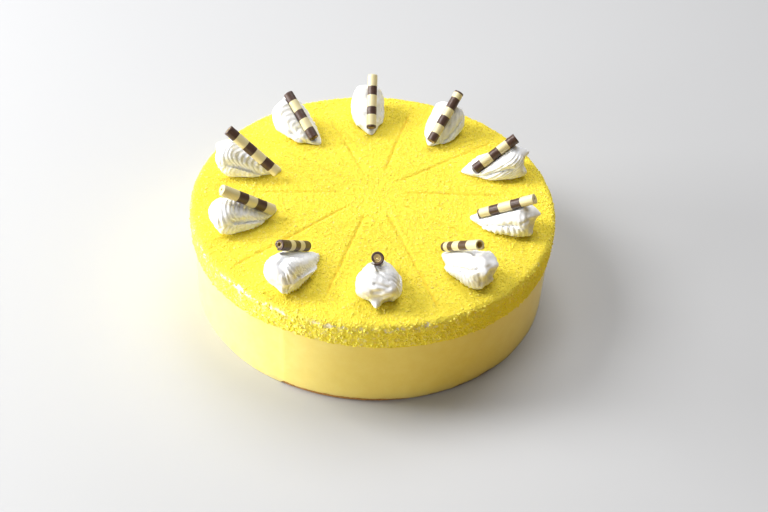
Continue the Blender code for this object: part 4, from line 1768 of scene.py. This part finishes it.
@dataclass
class Studio:
    """The floor, the lights and the camera."""

    position: Triple = (0.0, -0.50657, 0.46712)
    pan: float = 0.0155
    tilt: float = 0.73047
    roll: float = 0.05422
    lens: float = 52.285
    sensor: float = 36.0
    aim: Triple = (0.0, 0.0, 0.03)
    floor_reach: float = 3.0
    floor_tone: Triple = (0.50, 0.51, 0.53)
    floor_bounce: Triple = (0.62, 0.43, 0.03)
    room_tone: Triple = (1.0, 0.99, 0.97)
    room_light: float = 0.125

    def add_camera(self) -> None:
        """Adds the camera at the picture's view."""
        ct, st, cp, sp = (math.cos(self.tilt), math.sin(self.tilt), math.cos(self.pan), math.sin(self.pan))
        ahead = Vector((sp * ct, cp * ct, -st))
        right = Vector((cp, -sp, 0.0))
        above = right.cross(ahead)
        cr, sr = math.cos(self.roll), math.sin(self.roll)
        side, top = cr * right + sr * above, -sr * right + cr * above
        data = bpy.data.cameras.new("picture_view")
        data.lens = self.lens
        data.sensor_width = self.sensor
        data.clip_start = 0.01
        camera = bpy.data.objects.new("picture_view", data)
        bpy.context.scene.collection.objects.link(camera)
        turned = Matrix((side, top, -ahead)).transposed().to_4x4()
        camera.matrix_world = Matrix.Translation(self.position) @ turned
        bpy.context.scene.camera = camera

    def add_lamp(self, lamp: Lamp) -> None:
        """Adds a soft light that faces the cake.

        Args:
            lamp: What it is like and where it hangs.
        """
        data = bpy.data.lights.new(lamp.name, "AREA")
        data.size = lamp.side
        data.energy = lamp.watts
        data.color = lamp.colour
        hung = bpy.data.objects.new(lamp.name, data)
        bpy.context.scene.collection.objects.link(hung)
        hung.location = lamp.place
        hung.rotation_euler = (Vector(self.aim) - Vector(lamp.place)).to_track_quat("-Z", "Y").to_euler()

    def add_floor(self) -> None:
        """Adds the plain pale floor, which sends a warm tone back to the cake's side."""
        reach = self.floor_reach
        corners = [(-reach, -reach, 0.0), (reach, -reach, 0.0), (reach, reach, 0.0), (-reach, reach, 0.0)]
        mesh = bpy.data.meshes.new("floor")
        mesh.from_pydata(corners, [], [(0, 1, 2, 3)])
        finish = bpy.data.materials.new("pale_floor")
        finish.use_nodes = True
        tree = finish.node_tree
        shader = tree.nodes["Principled BSDF"]
        shader.inputs["Roughness"].default_value = 0.6
        onto_cake = out(put(tree, "ShaderNodeLightPath"), "Is Diffuse Ray")
        colour = blended(tree, onto_cake, self.floor_tone, self.floor_bounce)
        tree.links.new(colour, shader.inputs["Base Color"])
        mesh.materials.append(finish)
        floor = place_object("floor", mesh)

    def add_world(self) -> None:
        """Adds the even light of the room."""
        world = bpy.data.worlds.new("soft_room")
        world.use_nodes = True
        back = world.node_tree.nodes["Background"]
        back.inputs["Color"].default_value = (*self.room_tone, 1.0)
        back.inputs["Strength"].default_value = self.room_light
        bpy.context.scene.world = world

    def build(self) -> None:
        """Sets up the whole studio."""
        self.add_camera()
        self.add_floor()
        self.add_world()
        for lamp in LAMPS:
            self.add_lamp(lamp)
        bpy.context.scene.view_settings.view_transform = "Standard"


def main() -> None:
    """Builds the whole cake in order and reports each piece."""
    logging.basicConfig(level=logging.INFO, format="%(name)s %(message)s")
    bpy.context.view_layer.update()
    Studio().build()
    body = CakeBody()
    body.build_sponge()
    body.build_mousse()
    CrumbCoat().build()
    cream = CREAM.material()
    chocolate = ROLLED.material()
    for number, (shell, roll) in enumerate(zip(SHELLS, ROLLS), start=1):
        PipedShell(number, shell, roll).build(cream)
        ChocolateRoll(number, roll).build(chocolate)


if __name__ == "__main__":
    main()
